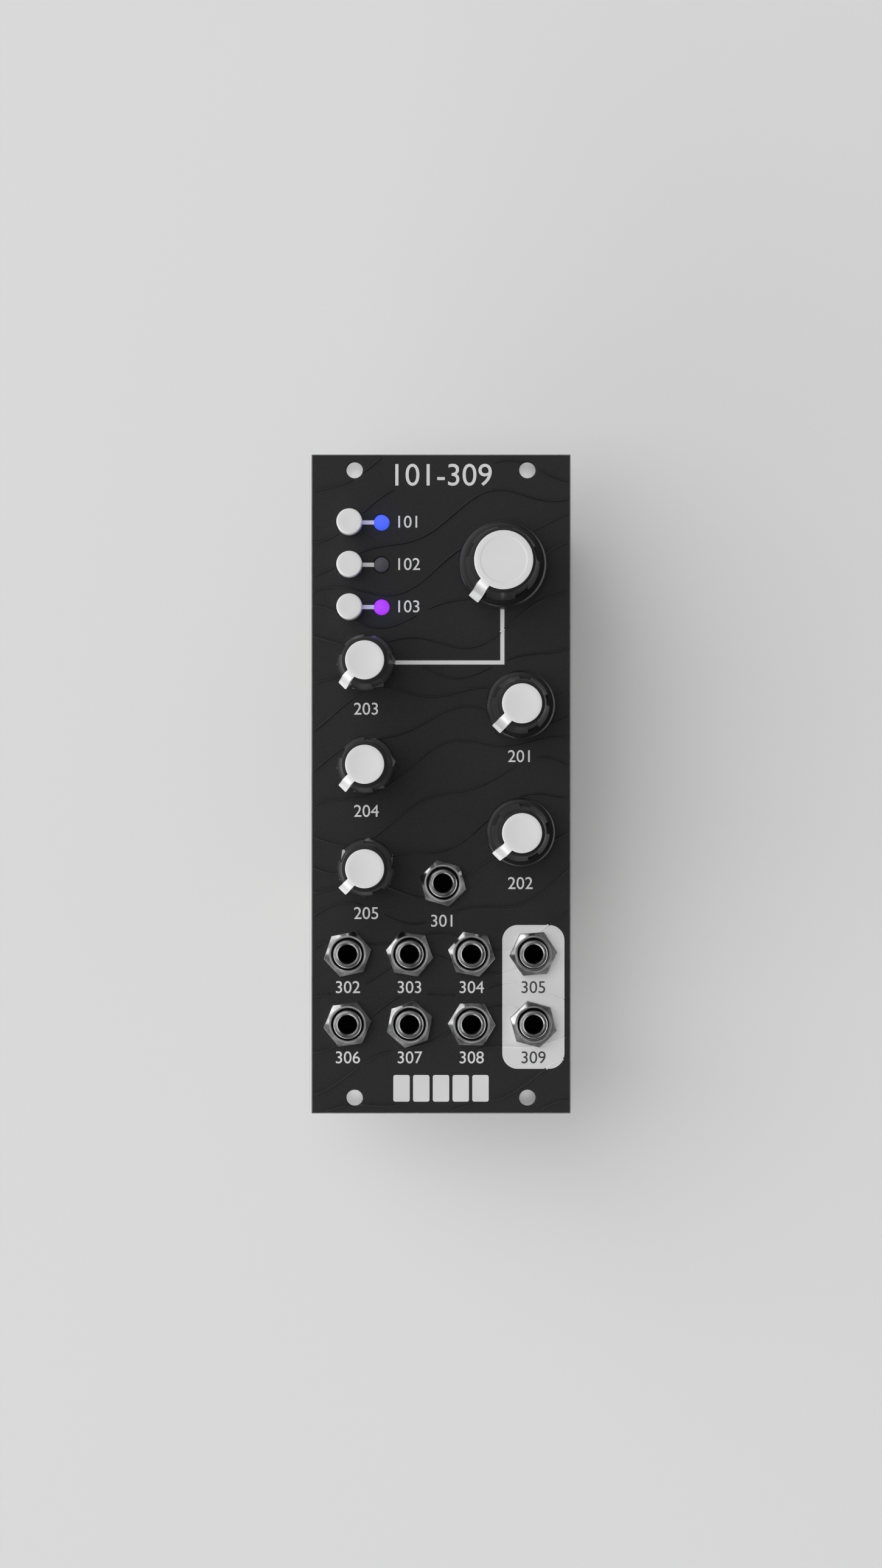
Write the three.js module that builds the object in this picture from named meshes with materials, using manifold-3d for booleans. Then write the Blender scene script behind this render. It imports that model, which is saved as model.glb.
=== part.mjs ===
import * as THREE from 'three';
import { mergeVertices } from 'three/addons/utils/BufferGeometryUtils.js';
import Module from 'manifold-3d';

// A synthesiser module lying on its back: +Z is the way its front panel faces, +Y runs to
// the panel's top edge and +X to its right. The origin is the middle of its base, where the
// tips of the three board spacers stand. All lengths are in millimetres.

// Front panel
const panelWidth = 50.5;
const panelHeight = 128.5;
const panelThickness = 2;
const mountingHoleRadius = 1.6;
const mountingHoleInsetX = 8.39;
const mountingHoleInsetY = 3;

// Circuit boards and what holds them apart
const boardThickness = 1.6;
const boardSideInset = 1;
const railDepth = 9.25;
const mainBoardHeight = 88;
const mainBoardTopInset = 3;
const spacerLength = 11;
const spacerSideInset = 3.75;
const lowerSpacerInset = 11.25;
const upperSpacerInset = 6.77;
const spacerRadius = 2.75;
const spacerStemRadius = 1.6;
const spacerTipRadius = 1.5;
const spacerBarbRadius = 2.3;
const spacerBarbLength = 3;
const spacerBarbEdge = 0.5;
const spacerSlotWidth = 0.8;
const spacerSlotDepth = 3.6;

// Connectors
const pinPitch = 2.54;
const pinWidth = 0.64;
const pinHoleClearance = 0.3;
const boardConnectorPins = 8;
const boardConnectorRows = 2;
const boardSocketHeight = 8.5;
const boardPinReach = 6;
const powerHeaderLength = 20.3;
const powerHeaderWidth = 8.9;
const powerHeaderDepth = 8.9;
const powerHeaderWall = 1;
const powerHeaderFloor = 1.9;
const powerHeaderNotchWidth = 4.5;

// Jack sockets and their nuts
const jackHeight = 10;
const jackWidth = 9;
const jackLength = 10.5;
const jackSleeveRadius = 2.85;
const jackSleeveLength = 4.5;
const jackSleeveChamfer = 0.45;
const jackBoreRadius = 1.85;
const jackBoreDepth = 12.5;
const jackNutAcrossFlats = 8.15;
const jackNutThickness = 2;
const jackNutChamfer = 0.6;
const jackNutFaceRadius = 3.65;

// Potentiometers
const potWidth = 9.5;
const potLength = 11;
const potHeight = 6.8;
const potFloor = 1.5;
const potBushRadius = 3.5;
const potBushProud = 0.4;
const potNutAcrossFlats = 10;
const potNutThickness = 2;
const shaftRadius = 3;
const shaftHeight = 11.5;
const shaftFlatDepth = 1.5;
const shaftFlatLength = 7;
const rotorRadius = 3.8;
const rotorThickness = 1.6;

// Knobs. Radii are those of the foot of the grip, its flat top and the pointer's tip.
const knobHeight = 16;
const knobCapThickness = 0.7;
const knobPlugRadius = 1.8;
const knobPlugLength = 2;
const gripRecessDepth = 0.55;
const pointerThickness = 0.6;
const skirtGap = 0.6;
const skirtRimHeight = 2.4;
const skirtShoulderHeight = 4.2;
const skirtShoulderWidth = 0.4;
const largeGripRadius = 7.2;
const largeTopRadius = 6.2;
const largeCapRadius = 5.64;
const largeSkirtRadius = 8.6;
const largePointerReach = 9;
const largePointerWidth = 2;
const mediumGripRadius = 5.65;
const mediumTopRadius = 4.4;
const mediumCapRadius = 3.82;
const mediumSkirtRadius = 6.72;
const mediumPointerReach = 6.8;
const mediumPointerWidth = 1.9;
const smallGripRadius = 5.56;
const smallTopRadius = 4.4;
const smallCapRadius = 3.73;
const smallPointerReach = 6.6;
const smallPointerWidth = 1.7;
const pointerFlare = 0.3;
const smallKnobGap = 2.8;

// Push buttons and lamps
const buttonRadius = 2.5;
const buttonHeight = 4;
const buttonSkirtDepth = 3.4;
const buttonEdge = 0.35;
const plungerRadius = 1.6;
const buttonTravel = 0.3;
const switchWidth = 6;
const switchHeight = 5;
const switchFloor = 1.5;
const lampRadius = 1.5;
const lampProud = 0.8;
const lampLength = 5.4;
const lampFlangeRadius = 1.9;
const lampFlangeThickness = 1;
const lampLeadWidth = 0.5;
const lampLeadPitch = 2.54;

// Clearances: parts that fit but don't touch, parts that turn or slide, and cut overrun
const fitClearance = 0.3;
const runningClearance = 0.15;
const holeClearance = 0.25;
const overrun = 1;

// Places on the panel, as shares of its width and height from its middle
const largeKnobShare = { x: 0.237, y: 0.3331 };
const mediumKnobShare = { x: 0.3064, y: 0.1198, pitch: 0.1927 };
const smallKnobShare = { x: -0.2883, y: 0.1844, pitch: 0.1551 };
const buttonShare = { x: -0.3525, y: 0.3969, pitch: 0.0642 };
const lampColumnShare = -0.2297;
const singleJackShare = { x: 0.0073, y: -0.1502 };
const jackGridShare = { x: -0.3604, y: -0.2576, columnPitch: 0.239, rowPitch: 0.1066 };
const upperSpacerShare = -0.02;
const boardConnectorShare = { x: 0, y: 0.1 };
const powerHeaderShare = { x: 0, y: -0.365 };

// Turns, in degrees anticlockwise from +X: pointers fully anticlockwise, nuts' corners as tightened
const largePointerAngle = -129.5;
const pointerAngle = -135;
const singleNutAngle = 44.5;
const nutAngles = [[11.7, 50.5, 49.5, 4.5], [7.7, 19, 58.7, 45]];
const potNutAngles = [30, 30, 30, 4, 6.6, 25];
const gripLobes = 5;
const gripRecessAngle = 22;
const gripStepAngle = 2;

// Counts of sides on round shapes
const holeSides = 16;
const gripSides = 24;
const roundSides = 16;
const smallSides = 12;
const lobeSides = 4;
const hexSides = 6;

// Heights above the base
const mainBoardBack = spacerBarbLength;
const mainBoardFront = mainBoardBack + boardThickness;
const controlBoardBack = mainBoardFront + spacerLength;
const controlBoardFront = controlBoardBack + boardThickness;
const panelBack = controlBoardFront + jackHeight;
const panelFront = panelBack + panelThickness;
const knobTop = panelFront + knobHeight;
const gripTop = knobTop - knobCapThickness;
const shaftTop = panelFront + shaftHeight;

// Sizes of the boards, which stop short of the rails above and below
const boardWidth = panelWidth - 2 * boardSideInset;
const controlBoardHeight = panelHeight - 2 * railDepth;
const mainBoardMiddle = controlBoardHeight / 2 - mainBoardTopInset - mainBoardHeight / 2;

// Radii of holes and bores
const jackHoleRadius = jackSleeveRadius + fitClearance;
const potHoleRadius = potBushRadius + fitClearance;
const buttonHoleRadius = buttonRadius + holeClearance;
const lampHoleRadius = lampRadius + holeClearance;
const spacerHoleRadius = spacerStemRadius + fitClearance;
const shaftBoreRadius = shaftRadius + runningClearance;
const socketRadius = shaftRadius + fitClearance;
const shaftFlatPlane = shaftRadius - shaftFlatDepth;
const cornerShare = 1 / Math.cos(Math.PI / hexSides);
const nutRoomRadius = (potNutAcrossFlats / 2) * cornerShare + fitClearance;

const wasm = await Module();
wasm.setup();

// Solids and geometry

function solidOf(geometry) {
  const bare = geometry.clone();
  bare.deleteAttribute('normal');
  bare.deleteAttribute('uv');
  const merged = mergeVertices(bare);
  const corners = merged.index.array;
  const kept = [];
  for (let i = 0; i < corners.length; i += 3) {
    const [a, b, c] = corners.slice(i, i + 3);
    if (a !== b && b !== c && c !== a) kept.push(a, b, c);
  }
  return new wasm.Manifold(new wasm.Mesh({
    numProp: 3,
    vertProperties: new Float32Array(merged.attributes.position.array),
    triVerts: new Uint32Array(kept),
  }));
}

function geometryOf(solid) {
  const mesh = solid.getMesh();
  const geometry = new THREE.BufferGeometry();
  geometry.setAttribute('position', new THREE.BufferAttribute(mesh.vertProperties, mesh.numProp));
  geometry.setIndex(new THREE.BufferAttribute(mesh.triVerts, 1));
  geometry.computeVertexNormals();
  return geometry;
}

function block(width, length, low, high) {
  const box = new THREE.BoxGeometry(width, length, high - low);
  return box.translate(0, 0, (low + high) / 2);
}

function bar(radius, low, high, sides) {
  const cylinder = new THREE.CylinderGeometry(radius, radius, high - low, sides);
  return cylinder.rotateX(Math.PI / 2).translate(0, 0, (low + high) / 2);
}

// A hexagonal bar with a corner on +X
function hexagonBar(acrossFlats, low, high) {
  const cornerRadius = (acrossFlats / 2) * cornerShare;
  return bar(cornerRadius, low, high, hexSides).rotateZ(Math.PI / 2);
}

function turned(profile, sides) {
  const points = profile.map(([radius, height]) => new THREE.Vector2(radius, height));
  return new THREE.LatheGeometry(points, sides).rotateX(Math.PI / 2);
}

function circlePath(x, y, radius) {
  const path = new THREE.Path();
  path.absarc(x, y, radius, 0, 2 * Math.PI, false);
  return path;
}

// A full circle in a shape gets two points for each curve segment.
function plate(shape, low, high, sides) {
  const settings = { depth: high - low, bevelEnabled: false, curveSegments: sides / 2 };
  return new THREE.ExtrudeGeometry(shape, settings).translate(0, 0, low);
}

function rectangle(width, height, middle) {
  const shape = new THREE.Shape();
  shape.moveTo(-width / 2, middle - height / 2);
  shape.lineTo(width / 2, middle - height / 2);
  shape.lineTo(width / 2, middle + height / 2);
  shape.lineTo(-width / 2, middle + height / 2);
  shape.closePath();
  return shape;
}

// The part of a shaft or its socket that a flat cuts away, beyond a plane beside the axis
function flatCut(plane, width, low, high) {
  return solidOf(block(width, 2 * width, low, high).translate(plane + width / 2, 0, 0));
}

// Materials

function material(color, roughness, metalness) {
  return new THREE.MeshStandardMaterial({ color, roughness, metalness });
}

const panelMaterial = material(0x2c2c2c, 0.6, 0.3);
const boardMaterial = material(0x101418, 0.5, 0);
const softBlackMaterial = material(0x1a1a1a, 0.7, 0);
const blackPlasticMaterial = material(0x161616, 0.5, 0);
const whitePlasticMaterial = material(0xdcdcdc, 0.45, 0);
const nylonMaterial = material(0xe6e2d6, 0.5, 0);
const steelMaterial = material(0xb4b4b4, 0.35, 1);
const nickelMaterial = material(0xc8c8c4, 0.25, 1);
const lampColors = [0x5a74ff, 0x54545a, 0xbc50ff];

const module = new THREE.Group();

function place(name, geometry, surface, x, y, angle = 0) {
  const mesh = new THREE.Mesh(geometry, surface);
  mesh.name = name;
  mesh.position.set(x, y, 0);
  mesh.rotation.z = THREE.MathUtils.degToRad(angle);
  module.add(mesh);
}

// Where the controls are

function atShare(share) {
  return { x: share.x * panelWidth, y: share.y * panelHeight };
}

function columnOf(share, count) {
  const places = [];
  for (let i = 0; i < count; i += 1) {
    places.push(atShare({ x: share.x, y: share.y - i * share.pitch }));
  }
  return places;
}

function jackPlaces() {
  const places = [{ ...atShare(singleJackShare), nutAngle: singleNutAngle }];
  nutAngles.forEach((rowAngles, row) => {
    rowAngles.forEach((nutAngle, column) => {
      const x = jackGridShare.x + column * jackGridShare.columnPitch;
      const y = jackGridShare.y - row * jackGridShare.rowPitch;
      places.push({ ...atShare({ x, y }), nutAngle });
    });
  });
  return places;
}

const largeStyle = {
  gripRadius: largeGripRadius,
  topRadius: largeTopRadius,
  capRadius: largeCapRadius,
  skirtRadius: largeSkirtRadius,
  pointerReach: largePointerReach,
  pointerWidth: largePointerWidth,
};
const mediumStyle = {
  gripRadius: mediumGripRadius,
  topRadius: mediumTopRadius,
  capRadius: mediumCapRadius,
  skirtRadius: mediumSkirtRadius,
  pointerReach: mediumPointerReach,
  pointerWidth: mediumPointerWidth,
};
const smallStyle = {
  gripRadius: smallGripRadius,
  topRadius: smallTopRadius,
  capRadius: smallCapRadius,
  skirtRadius: 0,
  pointerReach: smallPointerReach,
  pointerWidth: smallPointerWidth,
};

const mediumPlaces = columnOf(mediumKnobShare, 2);
const smallPlaces = columnOf(smallKnobShare, 3);
const buttonPlaces = columnOf(buttonShare, 3);
const lampPlaces = columnOf({ ...buttonShare, x: lampColumnShare }, 3);
const jacks = jackPlaces();
const knobs = [
  { name: 'large_knob', style: largeStyle, angle: largePointerAngle, ...atShare(largeKnobShare) },
  { name: 'medium_knob_1', style: mediumStyle, angle: pointerAngle, ...mediumPlaces[0] },
  { name: 'medium_knob_2', style: mediumStyle, angle: pointerAngle, ...mediumPlaces[1] },
  { name: 'small_knob_1', style: smallStyle, angle: pointerAngle, ...smallPlaces[0] },
  { name: 'small_knob_2', style: smallStyle, angle: pointerAngle, ...smallPlaces[1] },
  { name: 'small_knob_3', style: smallStyle, angle: pointerAngle, ...smallPlaces[2] },
];

// Front panel

function mountingHolePlaces() {
  const x = panelWidth / 2 - mountingHoleInsetX;
  const y = panelHeight / 2 - mountingHoleInsetY;
  return [{ x: -x, y }, { x, y }, { x: -x, y: -y }, { x, y: -y }];
}

function frontPanel() {
  const outline = rectangle(panelWidth, panelHeight, 0);
  const holes = [
    [mountingHolePlaces(), mountingHoleRadius],
    [knobs, potHoleRadius],
    [jacks, jackHoleRadius],
    [buttonPlaces, buttonHoleRadius],
    [lampPlaces, lampHoleRadius],
  ];
  for (const [places, radius] of holes) {
    for (const { x, y } of places) outline.holes.push(circlePath(x, y, radius));
  }
  return plate(outline, panelBack, panelFront, holeSides);
}

place('front_panel', frontPanel(), panelMaterial, 0, 0);

// Circuit boards

const spacerSide = boardWidth / 2 - spacerSideInset;
const lowerSpacerRow = mainBoardMiddle - mainBoardHeight / 2 + lowerSpacerInset;
const upperSpacerRow = mainBoardMiddle + mainBoardHeight / 2 - upperSpacerInset;
const spacerPlaces = [
  { x: -spacerSide, y: lowerSpacerRow },
  { x: spacerSide, y: lowerSpacerRow },
  { x: upperSpacerShare * panelWidth, y: upperSpacerRow },
];

function board(height, middle, low) {
  const outline = rectangle(boardWidth, height, middle);
  for (const { x, y } of spacerPlaces) outline.holes.push(circlePath(x, y, spacerHoleRadius));
  return plate(outline, low, low + boardThickness, smallSides);
}

place('control_board', board(controlBoardHeight, 0, controlBoardBack), boardMaterial, 0, 0);
place('main_board', board(mainBoardHeight, mainBoardMiddle, mainBoardBack), boardMaterial, 0, 0);

// Spacers: a pillar with a peg in the control board and a barbed, split tip through the main board

function spacerTip() {
  const barbFoot = boardThickness;
  const barbEdgeTop = barbFoot + spacerBarbEdge;
  const tipEnd = barbFoot + spacerBarbLength;
  const tip = solidOf(turned([
    [0, -overrun],
    [spacerStemRadius, -overrun],
    [spacerStemRadius, barbFoot],
    [spacerBarbRadius, barbFoot],
    [spacerBarbRadius, barbEdgeTop],
    [spacerTipRadius, tipEnd],
    [0, tipEnd],
  ], smallSides));
  const slotFoot = tipEnd - spacerSlotDepth;
  const slot = block(spacerSlotWidth, 2 * (spacerBarbRadius + overrun), slotFoot, tipEnd + overrun);
  return tip.subtract(solidOf(slot));
}

function spacer() {
  const pillar = solidOf(bar(spacerRadius, mainBoardFront, controlBoardBack, hexSides));
  const pegFoot = controlBoardBack - spacerStemRadius;
  const peg = solidOf(bar(spacerStemRadius, pegFoot, controlBoardFront, smallSides));
  const tip = geometryOf(spacerTip()).rotateX(Math.PI).translate(0, 0, mainBoardFront);
  return geometryOf(pillar.add(peg).add(solidOf(tip)));
}

spacerPlaces.forEach(({ x, y }, i) => {
  place(`board_spacer_${i + 1}`, spacer(), nylonMaterial, x, y);
});

// The connector between the boards: a pin header on the main board in a socket above it

const connectorLength = boardConnectorPins * pinPitch;
const connectorWidth = boardConnectorRows * pinPitch;
const headerTop = controlBoardBack - boardSocketHeight;
const connectorPlace = atShare(boardConnectorShare);

function pinPlaces(pins, rows) {
  const places = [];
  for (let row = 0; row < rows; row += 1) {
    for (let pin = 0; pin < pins; pin += 1) {
      const x = (pin - (pins - 1) / 2) * pinPitch;
      const y = (row - (rows - 1) / 2) * pinPitch;
      places.push({ x, y });
    }
  }
  return places;
}

function boardHeader() {
  let header = solidOf(block(connectorLength, connectorWidth, mainBoardFront, headerTop));
  for (const { x, y } of pinPlaces(boardConnectorPins, boardConnectorRows)) {
    const pin = block(pinWidth, pinWidth, mainBoardFront + pinWidth, headerTop + boardPinReach);
    header = header.add(solidOf(pin.translate(x, y, 0)));
  }
  return geometryOf(header);
}

function boardSocket() {
  const holeWidth = pinWidth + 2 * pinHoleClearance;
  const holeEnd = headerTop + boardPinReach + fitClearance;
  let socket = solidOf(block(connectorLength, connectorWidth, headerTop, controlBoardBack));
  for (const { x, y } of pinPlaces(boardConnectorPins, boardConnectorRows)) {
    const hole = block(holeWidth, holeWidth, headerTop - overrun, holeEnd);
    socket = socket.subtract(solidOf(hole.translate(x, y, 0)));
  }
  return geometryOf(socket);
}

place('board_header', boardHeader(), blackPlasticMaterial, connectorPlace.x, connectorPlace.y);
place('board_socket', boardSocket(), blackPlasticMaterial, connectorPlace.x, connectorPlace.y);

// Power header: a shroud open to the back, with a key notch in its lower side

function powerHeader() {
  const mouth = controlBoardBack - powerHeaderDepth;
  const floor = controlBoardBack - powerHeaderFloor;
  const shroud = solidOf(block(powerHeaderLength, powerHeaderWidth, mouth, controlBoardBack));
  const hollowLength = powerHeaderLength - 2 * powerHeaderWall;
  const hollowWidth = powerHeaderWidth - 2 * powerHeaderWall;
  const hollow = solidOf(block(hollowLength, hollowWidth, mouth - overrun, floor));
  const notch = block(powerHeaderNotchWidth, 2 * powerHeaderWall + overrun, mouth - overrun, floor);
  notch.translate(0, -powerHeaderWidth / 2, 0);
  return geometryOf(shroud.subtract(hollow).subtract(solidOf(notch)));
}

const powerHeaderPlace = atShare(powerHeaderShare);
place('power_header', powerHeader(), blackPlasticMaterial, powerHeaderPlace.x, powerHeaderPlace.y);

// Jack sockets: a housing between board and panel, and a sleeve through the panel

function jackSocket() {
  const sleeveTop = panelBack + jackSleeveLength;
  const boreEnd = sleeveTop - jackBoreDepth;
  const housing = solidOf(block(jackWidth, jackLength, controlBoardFront, panelBack));
  const sleeve = solidOf(turned([
    [0, controlBoardFront + overrun],
    [jackSleeveRadius, controlBoardFront + overrun],
    [jackSleeveRadius, sleeveTop - jackSleeveChamfer],
    [jackSleeveRadius - jackSleeveChamfer, sleeveTop],
    [0, sleeveTop],
  ], roundSides));
  const bore = solidOf(bar(jackBoreRadius, boreEnd, sleeveTop + overrun, roundSides));
  return geometryOf(housing.add(sleeve).subtract(bore));
}

function jackNut() {
  const cornerRadius = (jackNutAcrossFlats / 2) * cornerShare;
  const top = panelFront + jackNutThickness;
  const hexagon = solidOf(hexagonBar(jackNutAcrossFlats, panelFront, top));
  const crown = solidOf(turned([
    [0, panelFront],
    [cornerRadius + overrun, panelFront],
    [cornerRadius + overrun, top - jackNutChamfer],
    [cornerRadius, top - jackNutChamfer],
    [jackNutFaceRadius, top],
    [0, top],
  ], roundSides));
  const bore = solidOf(bar(jackHoleRadius, panelFront - overrun, top + overrun, roundSides));
  return geometryOf(hexagon.intersect(crown).subtract(bore));
}

jacks.forEach(({ x, y, nutAngle }, i) => {
  place(`jack_${i + 1}`, jackSocket(), nickelMaterial, x, y);
  place(`jack_${i + 1}_nut`, jackNut(), nickelMaterial, x, y, nutAngle);
});

// Potentiometers: a housing with its bush and nut, and a shaft held by its rotor

const rotorLow = controlBoardFront + potFloor + fitClearance;
const rotorHigh = rotorLow + rotorThickness;

function potentiometer(nutAngle) {
  const bushTop = panelFront + potNutThickness + potBushProud;
  const housingTop = controlBoardFront + potHeight;
  const nutTop = panelFront + potNutThickness;
  const spaceRadius = rotorRadius + fitClearance;
  const housing = solidOf(block(potWidth, potLength, controlBoardFront, housingTop));
  const bush = solidOf(bar(potBushRadius, housingTop - overrun, bushTop, roundSides));
  const nutTurn = THREE.MathUtils.degToRad(nutAngle);
  const nut = solidOf(hexagonBar(potNutAcrossFlats, panelFront, nutTop).rotateZ(nutTurn));
  const bore = solidOf(bar(shaftBoreRadius, rotorLow, bushTop + overrun, roundSides));
  const space = bar(spaceRadius, rotorLow - fitClearance, rotorHigh + fitClearance, roundSides);
  return geometryOf(housing.add(bush).add(nut).subtract(bore).subtract(solidOf(space)));
}

function potShaft() {
  const rotor = solidOf(bar(rotorRadius, rotorLow, rotorHigh, roundSides));
  const rod = solidOf(bar(shaftRadius, rotorHigh - overrun, shaftTop, roundSides));
  const flat = flatCut(shaftFlatPlane, socketRadius, shaftTop - shaftFlatLength, shaftTop + overrun);
  return geometryOf(rotor.add(rod).subtract(flat));
}

// Knob grips: a tapered body of broad lobes, whose recesses run out at the round top

function gripOutline(style) {
  const lobeRadius = style.gripRadius;
  const recessRadius = style.gripRadius - gripRecessDepth;
  const pitch = 360 / gripLobes;
  const lobeAngle = pitch - gripRecessAngle - 2 * gripStepAngle;
  const points = [];
  const addPoint = (radius, angle) => {
    const turn = THREE.MathUtils.degToRad(angle);
    points.push(new THREE.Vector2(radius * Math.cos(turn), radius * Math.sin(turn)));
  };
  for (let lobe = 0; lobe < gripLobes; lobe += 1) {
    const recessMiddle = lobe * pitch;
    const lobeStart = recessMiddle + gripRecessAngle / 2 + gripStepAngle;
    addPoint(recessRadius, recessMiddle - gripRecessAngle / 2);
    addPoint(recessRadius, recessMiddle);
    addPoint(recessRadius, recessMiddle + gripRecessAngle / 2);
    for (let side = 0; side <= lobeSides; side += 1) {
      addPoint(lobeRadius, lobeStart + (side / lobeSides) * lobeAngle);
    }
  }
  return new THREE.Shape(points);
}

function taperedGrip(style, foot) {
  const grip = plate(gripOutline(style), foot, gripTop, gripSides);
  const position = grip.attributes.position;
  for (let i = 0; i < position.count; i += 1) {
    if (position.getZ(i) > (foot + gripTop) / 2) {
      const radius = Math.hypot(position.getX(i), position.getY(i));
      const narrowing = style.topRadius / radius;
      position.setX(i, position.getX(i) * narrowing);
      position.setY(i, position.getY(i) * narrowing);
    }
  }
  return grip;
}

function knobSkirt(style) {
  const rimFoot = panelFront + skirtGap;
  const rimTop = panelFront + skirtRimHeight;
  const shoulder = panelFront + skirtShoulderHeight;
  return turned([
    [0, rimFoot],
    [style.skirtRadius, rimFoot],
    [style.skirtRadius, rimTop],
    [style.skirtRadius - skirtShoulderWidth, rimTop + skirtShoulderWidth],
    [style.gripRadius, shoulder + skirtShoulderWidth],
    [0, shoulder + skirtShoulderWidth],
  ], gripSides);
}

function shaftSocket(foot) {
  const end = shaftTop + fitClearance;
  const flatFoot = shaftTop - shaftFlatLength + fitClearance;
  const round = solidOf(bar(socketRadius, foot - overrun, end, roundSides));
  return round.subtract(flatCut(shaftFlatPlane + fitClearance, socketRadius, flatFoot, end + overrun));
}

function knobBody(style) {
  const hasSkirt = style.skirtRadius > 0;
  const gripFoot = panelFront + (hasSkirt ? skirtShoulderHeight : smallKnobGap);
  const foot = hasSkirt ? panelFront + skirtGap : gripFoot;
  let body = solidOf(taperedGrip(style, gripFoot));
  if (hasSkirt) {
    const hollowTop = panelFront + potNutThickness + potBushProud + fitClearance;
    const hollow = bar(nutRoomRadius, foot - overrun, hollowTop, gripSides);
    body = body.add(solidOf(knobSkirt(style))).subtract(solidOf(hollow));
  }
  const plugSpace = bar(knobPlugRadius + fitClearance, gripTop - knobPlugLength - fitClearance,
    gripTop + overrun, smallSides);
  return geometryOf(body.subtract(shaftSocket(foot)).subtract(solidOf(plugSpace)));
}

// Knob caps: a disc and plug on the grip, and a pointer that runs down one recess

function pointerBar(style) {
  const hasSkirt = style.skirtRadius > 0;
  const recessRadius = style.gripRadius - gripRecessDepth;
  const bendHeight = panelFront + skirtShoulderHeight + skirtShoulderWidth + fitClearance;
  const tipHeight = hasSkirt ? skirtShoulderHeight : smallKnobGap + pointerThickness;
  const tipTop = panelFront + tipHeight;
  const inner = style.topRadius + fitClearance;
  const bendInner = recessRadius + fitClearance;
  const profile = new THREE.Shape();
  profile.moveTo(0, gripTop);
  profile.lineTo(inner, gripTop);
  profile.lineTo(bendInner, bendHeight);
  profile.lineTo(style.pointerReach, tipTop - pointerThickness);
  profile.lineTo(style.pointerReach, tipTop);
  profile.lineTo(bendInner + pointerThickness, bendHeight + pointerThickness);
  profile.lineTo(inner + pointerThickness, knobTop);
  profile.lineTo(0, knobTop);
  profile.closePath();
  const settings = { depth: style.pointerWidth, bevelEnabled: false };
  const pointer = new THREE.ExtrudeGeometry(profile, settings);
  pointer.translate(0, 0, -style.pointerWidth / 2).rotateX(Math.PI / 2);
  const position = pointer.attributes.position;
  for (let i = 0; i < position.count; i += 1) {
    const share = position.getX(i) / style.pointerReach;
    position.setY(i, position.getY(i) * (1 + (share * pointerFlare) / style.pointerWidth));
  }
  return pointer;
}

function knobCap(style) {
  const discMiddle = gripTop + knobCapThickness / 2;
  const disc = solidOf(bar(style.capRadius, gripTop, knobTop, gripSides));
  const plug = solidOf(bar(knobPlugRadius, gripTop - knobPlugLength, discMiddle, smallSides));
  return geometryOf(disc.add(plug).add(solidOf(pointerBar(style))));
}

knobs.forEach(({ name, style, angle, x, y }, i) => {
  place(`${name}_body`, knobBody(style), softBlackMaterial, x, y, angle);
  place(`${name}_cap`, knobCap(style), whitePlasticMaterial, x, y, angle);
  place(`${name}_shaft`, potShaft(), steelMaterial, x, y, angle);
  place(`${name}_potentiometer`, potentiometer(potNutAngles[i]), steelMaterial, x, y);
});

// Push buttons: a cap with its plunger, in a switch on the control board

const switchTop = controlBoardFront + switchHeight;
const plungerEnd = controlBoardFront + switchFloor + buttonTravel + fitClearance;

function buttonCap() {
  const top = panelFront + buttonHeight;
  const foot = panelFront - buttonSkirtDepth;
  return geometryOf(solidOf(turned([
    [0, plungerEnd],
    [plungerRadius, plungerEnd],
    [plungerRadius, foot],
    [buttonRadius, foot],
    [buttonRadius, top - buttonEdge],
    [buttonRadius - buttonEdge, top],
    [0, top],
  ], roundSides)));
}

function buttonSwitch() {
  const housing = solidOf(block(switchWidth, switchWidth, controlBoardFront, switchTop));
  const well = bar(plungerRadius + fitClearance, controlBoardFront + switchFloor,
    switchTop + overrun, smallSides);
  return geometryOf(housing.subtract(solidOf(well)));
}

buttonPlaces.forEach(({ x, y }, i) => {
  place(`button_${i + 1}_cap`, buttonCap(), whitePlasticMaterial, x, y);
  place(`button_${i + 1}_switch`, buttonSwitch(), blackPlasticMaterial, x, y);
});

// Lamps: a round-nosed lens on two leads that stand on the control board

function lamp() {
  const top = panelFront + lampProud;
  const foot = top - lampLength;
  const shoulder = top - lampProud;
  const lens = solidOf(turned([
    [0, foot],
    [lampFlangeRadius, foot],
    [lampFlangeRadius, foot + lampFlangeThickness],
    [lampRadius, foot + lampFlangeThickness],
    [lampRadius, shoulder],
    [lampRadius * Math.cos(Math.PI / 6), shoulder + lampProud / 2],
    [lampRadius * Math.cos(Math.PI / 3), top - lampProud * (1 - Math.sin(Math.PI / 3))],
    [0, top],
  ], smallSides));
  const lead = block(lampLeadWidth, lampLeadWidth, controlBoardFront, foot + lampFlangeThickness / 2);
  const leftLead = solidOf(lead.clone().translate(-lampLeadPitch / 2, 0, 0));
  const rightLead = solidOf(lead.clone().translate(lampLeadPitch / 2, 0, 0));
  return geometryOf(lens.add(leftLead).add(rightLead));
}

lampPlaces.forEach(({ x, y }, i) => {
  place(`lamp_${i + 1}`, lamp(), material(lampColors[i], 0.4, 0), x, y);
});

export default module;
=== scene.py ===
import math
import random
from types import SimpleNamespace

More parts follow.
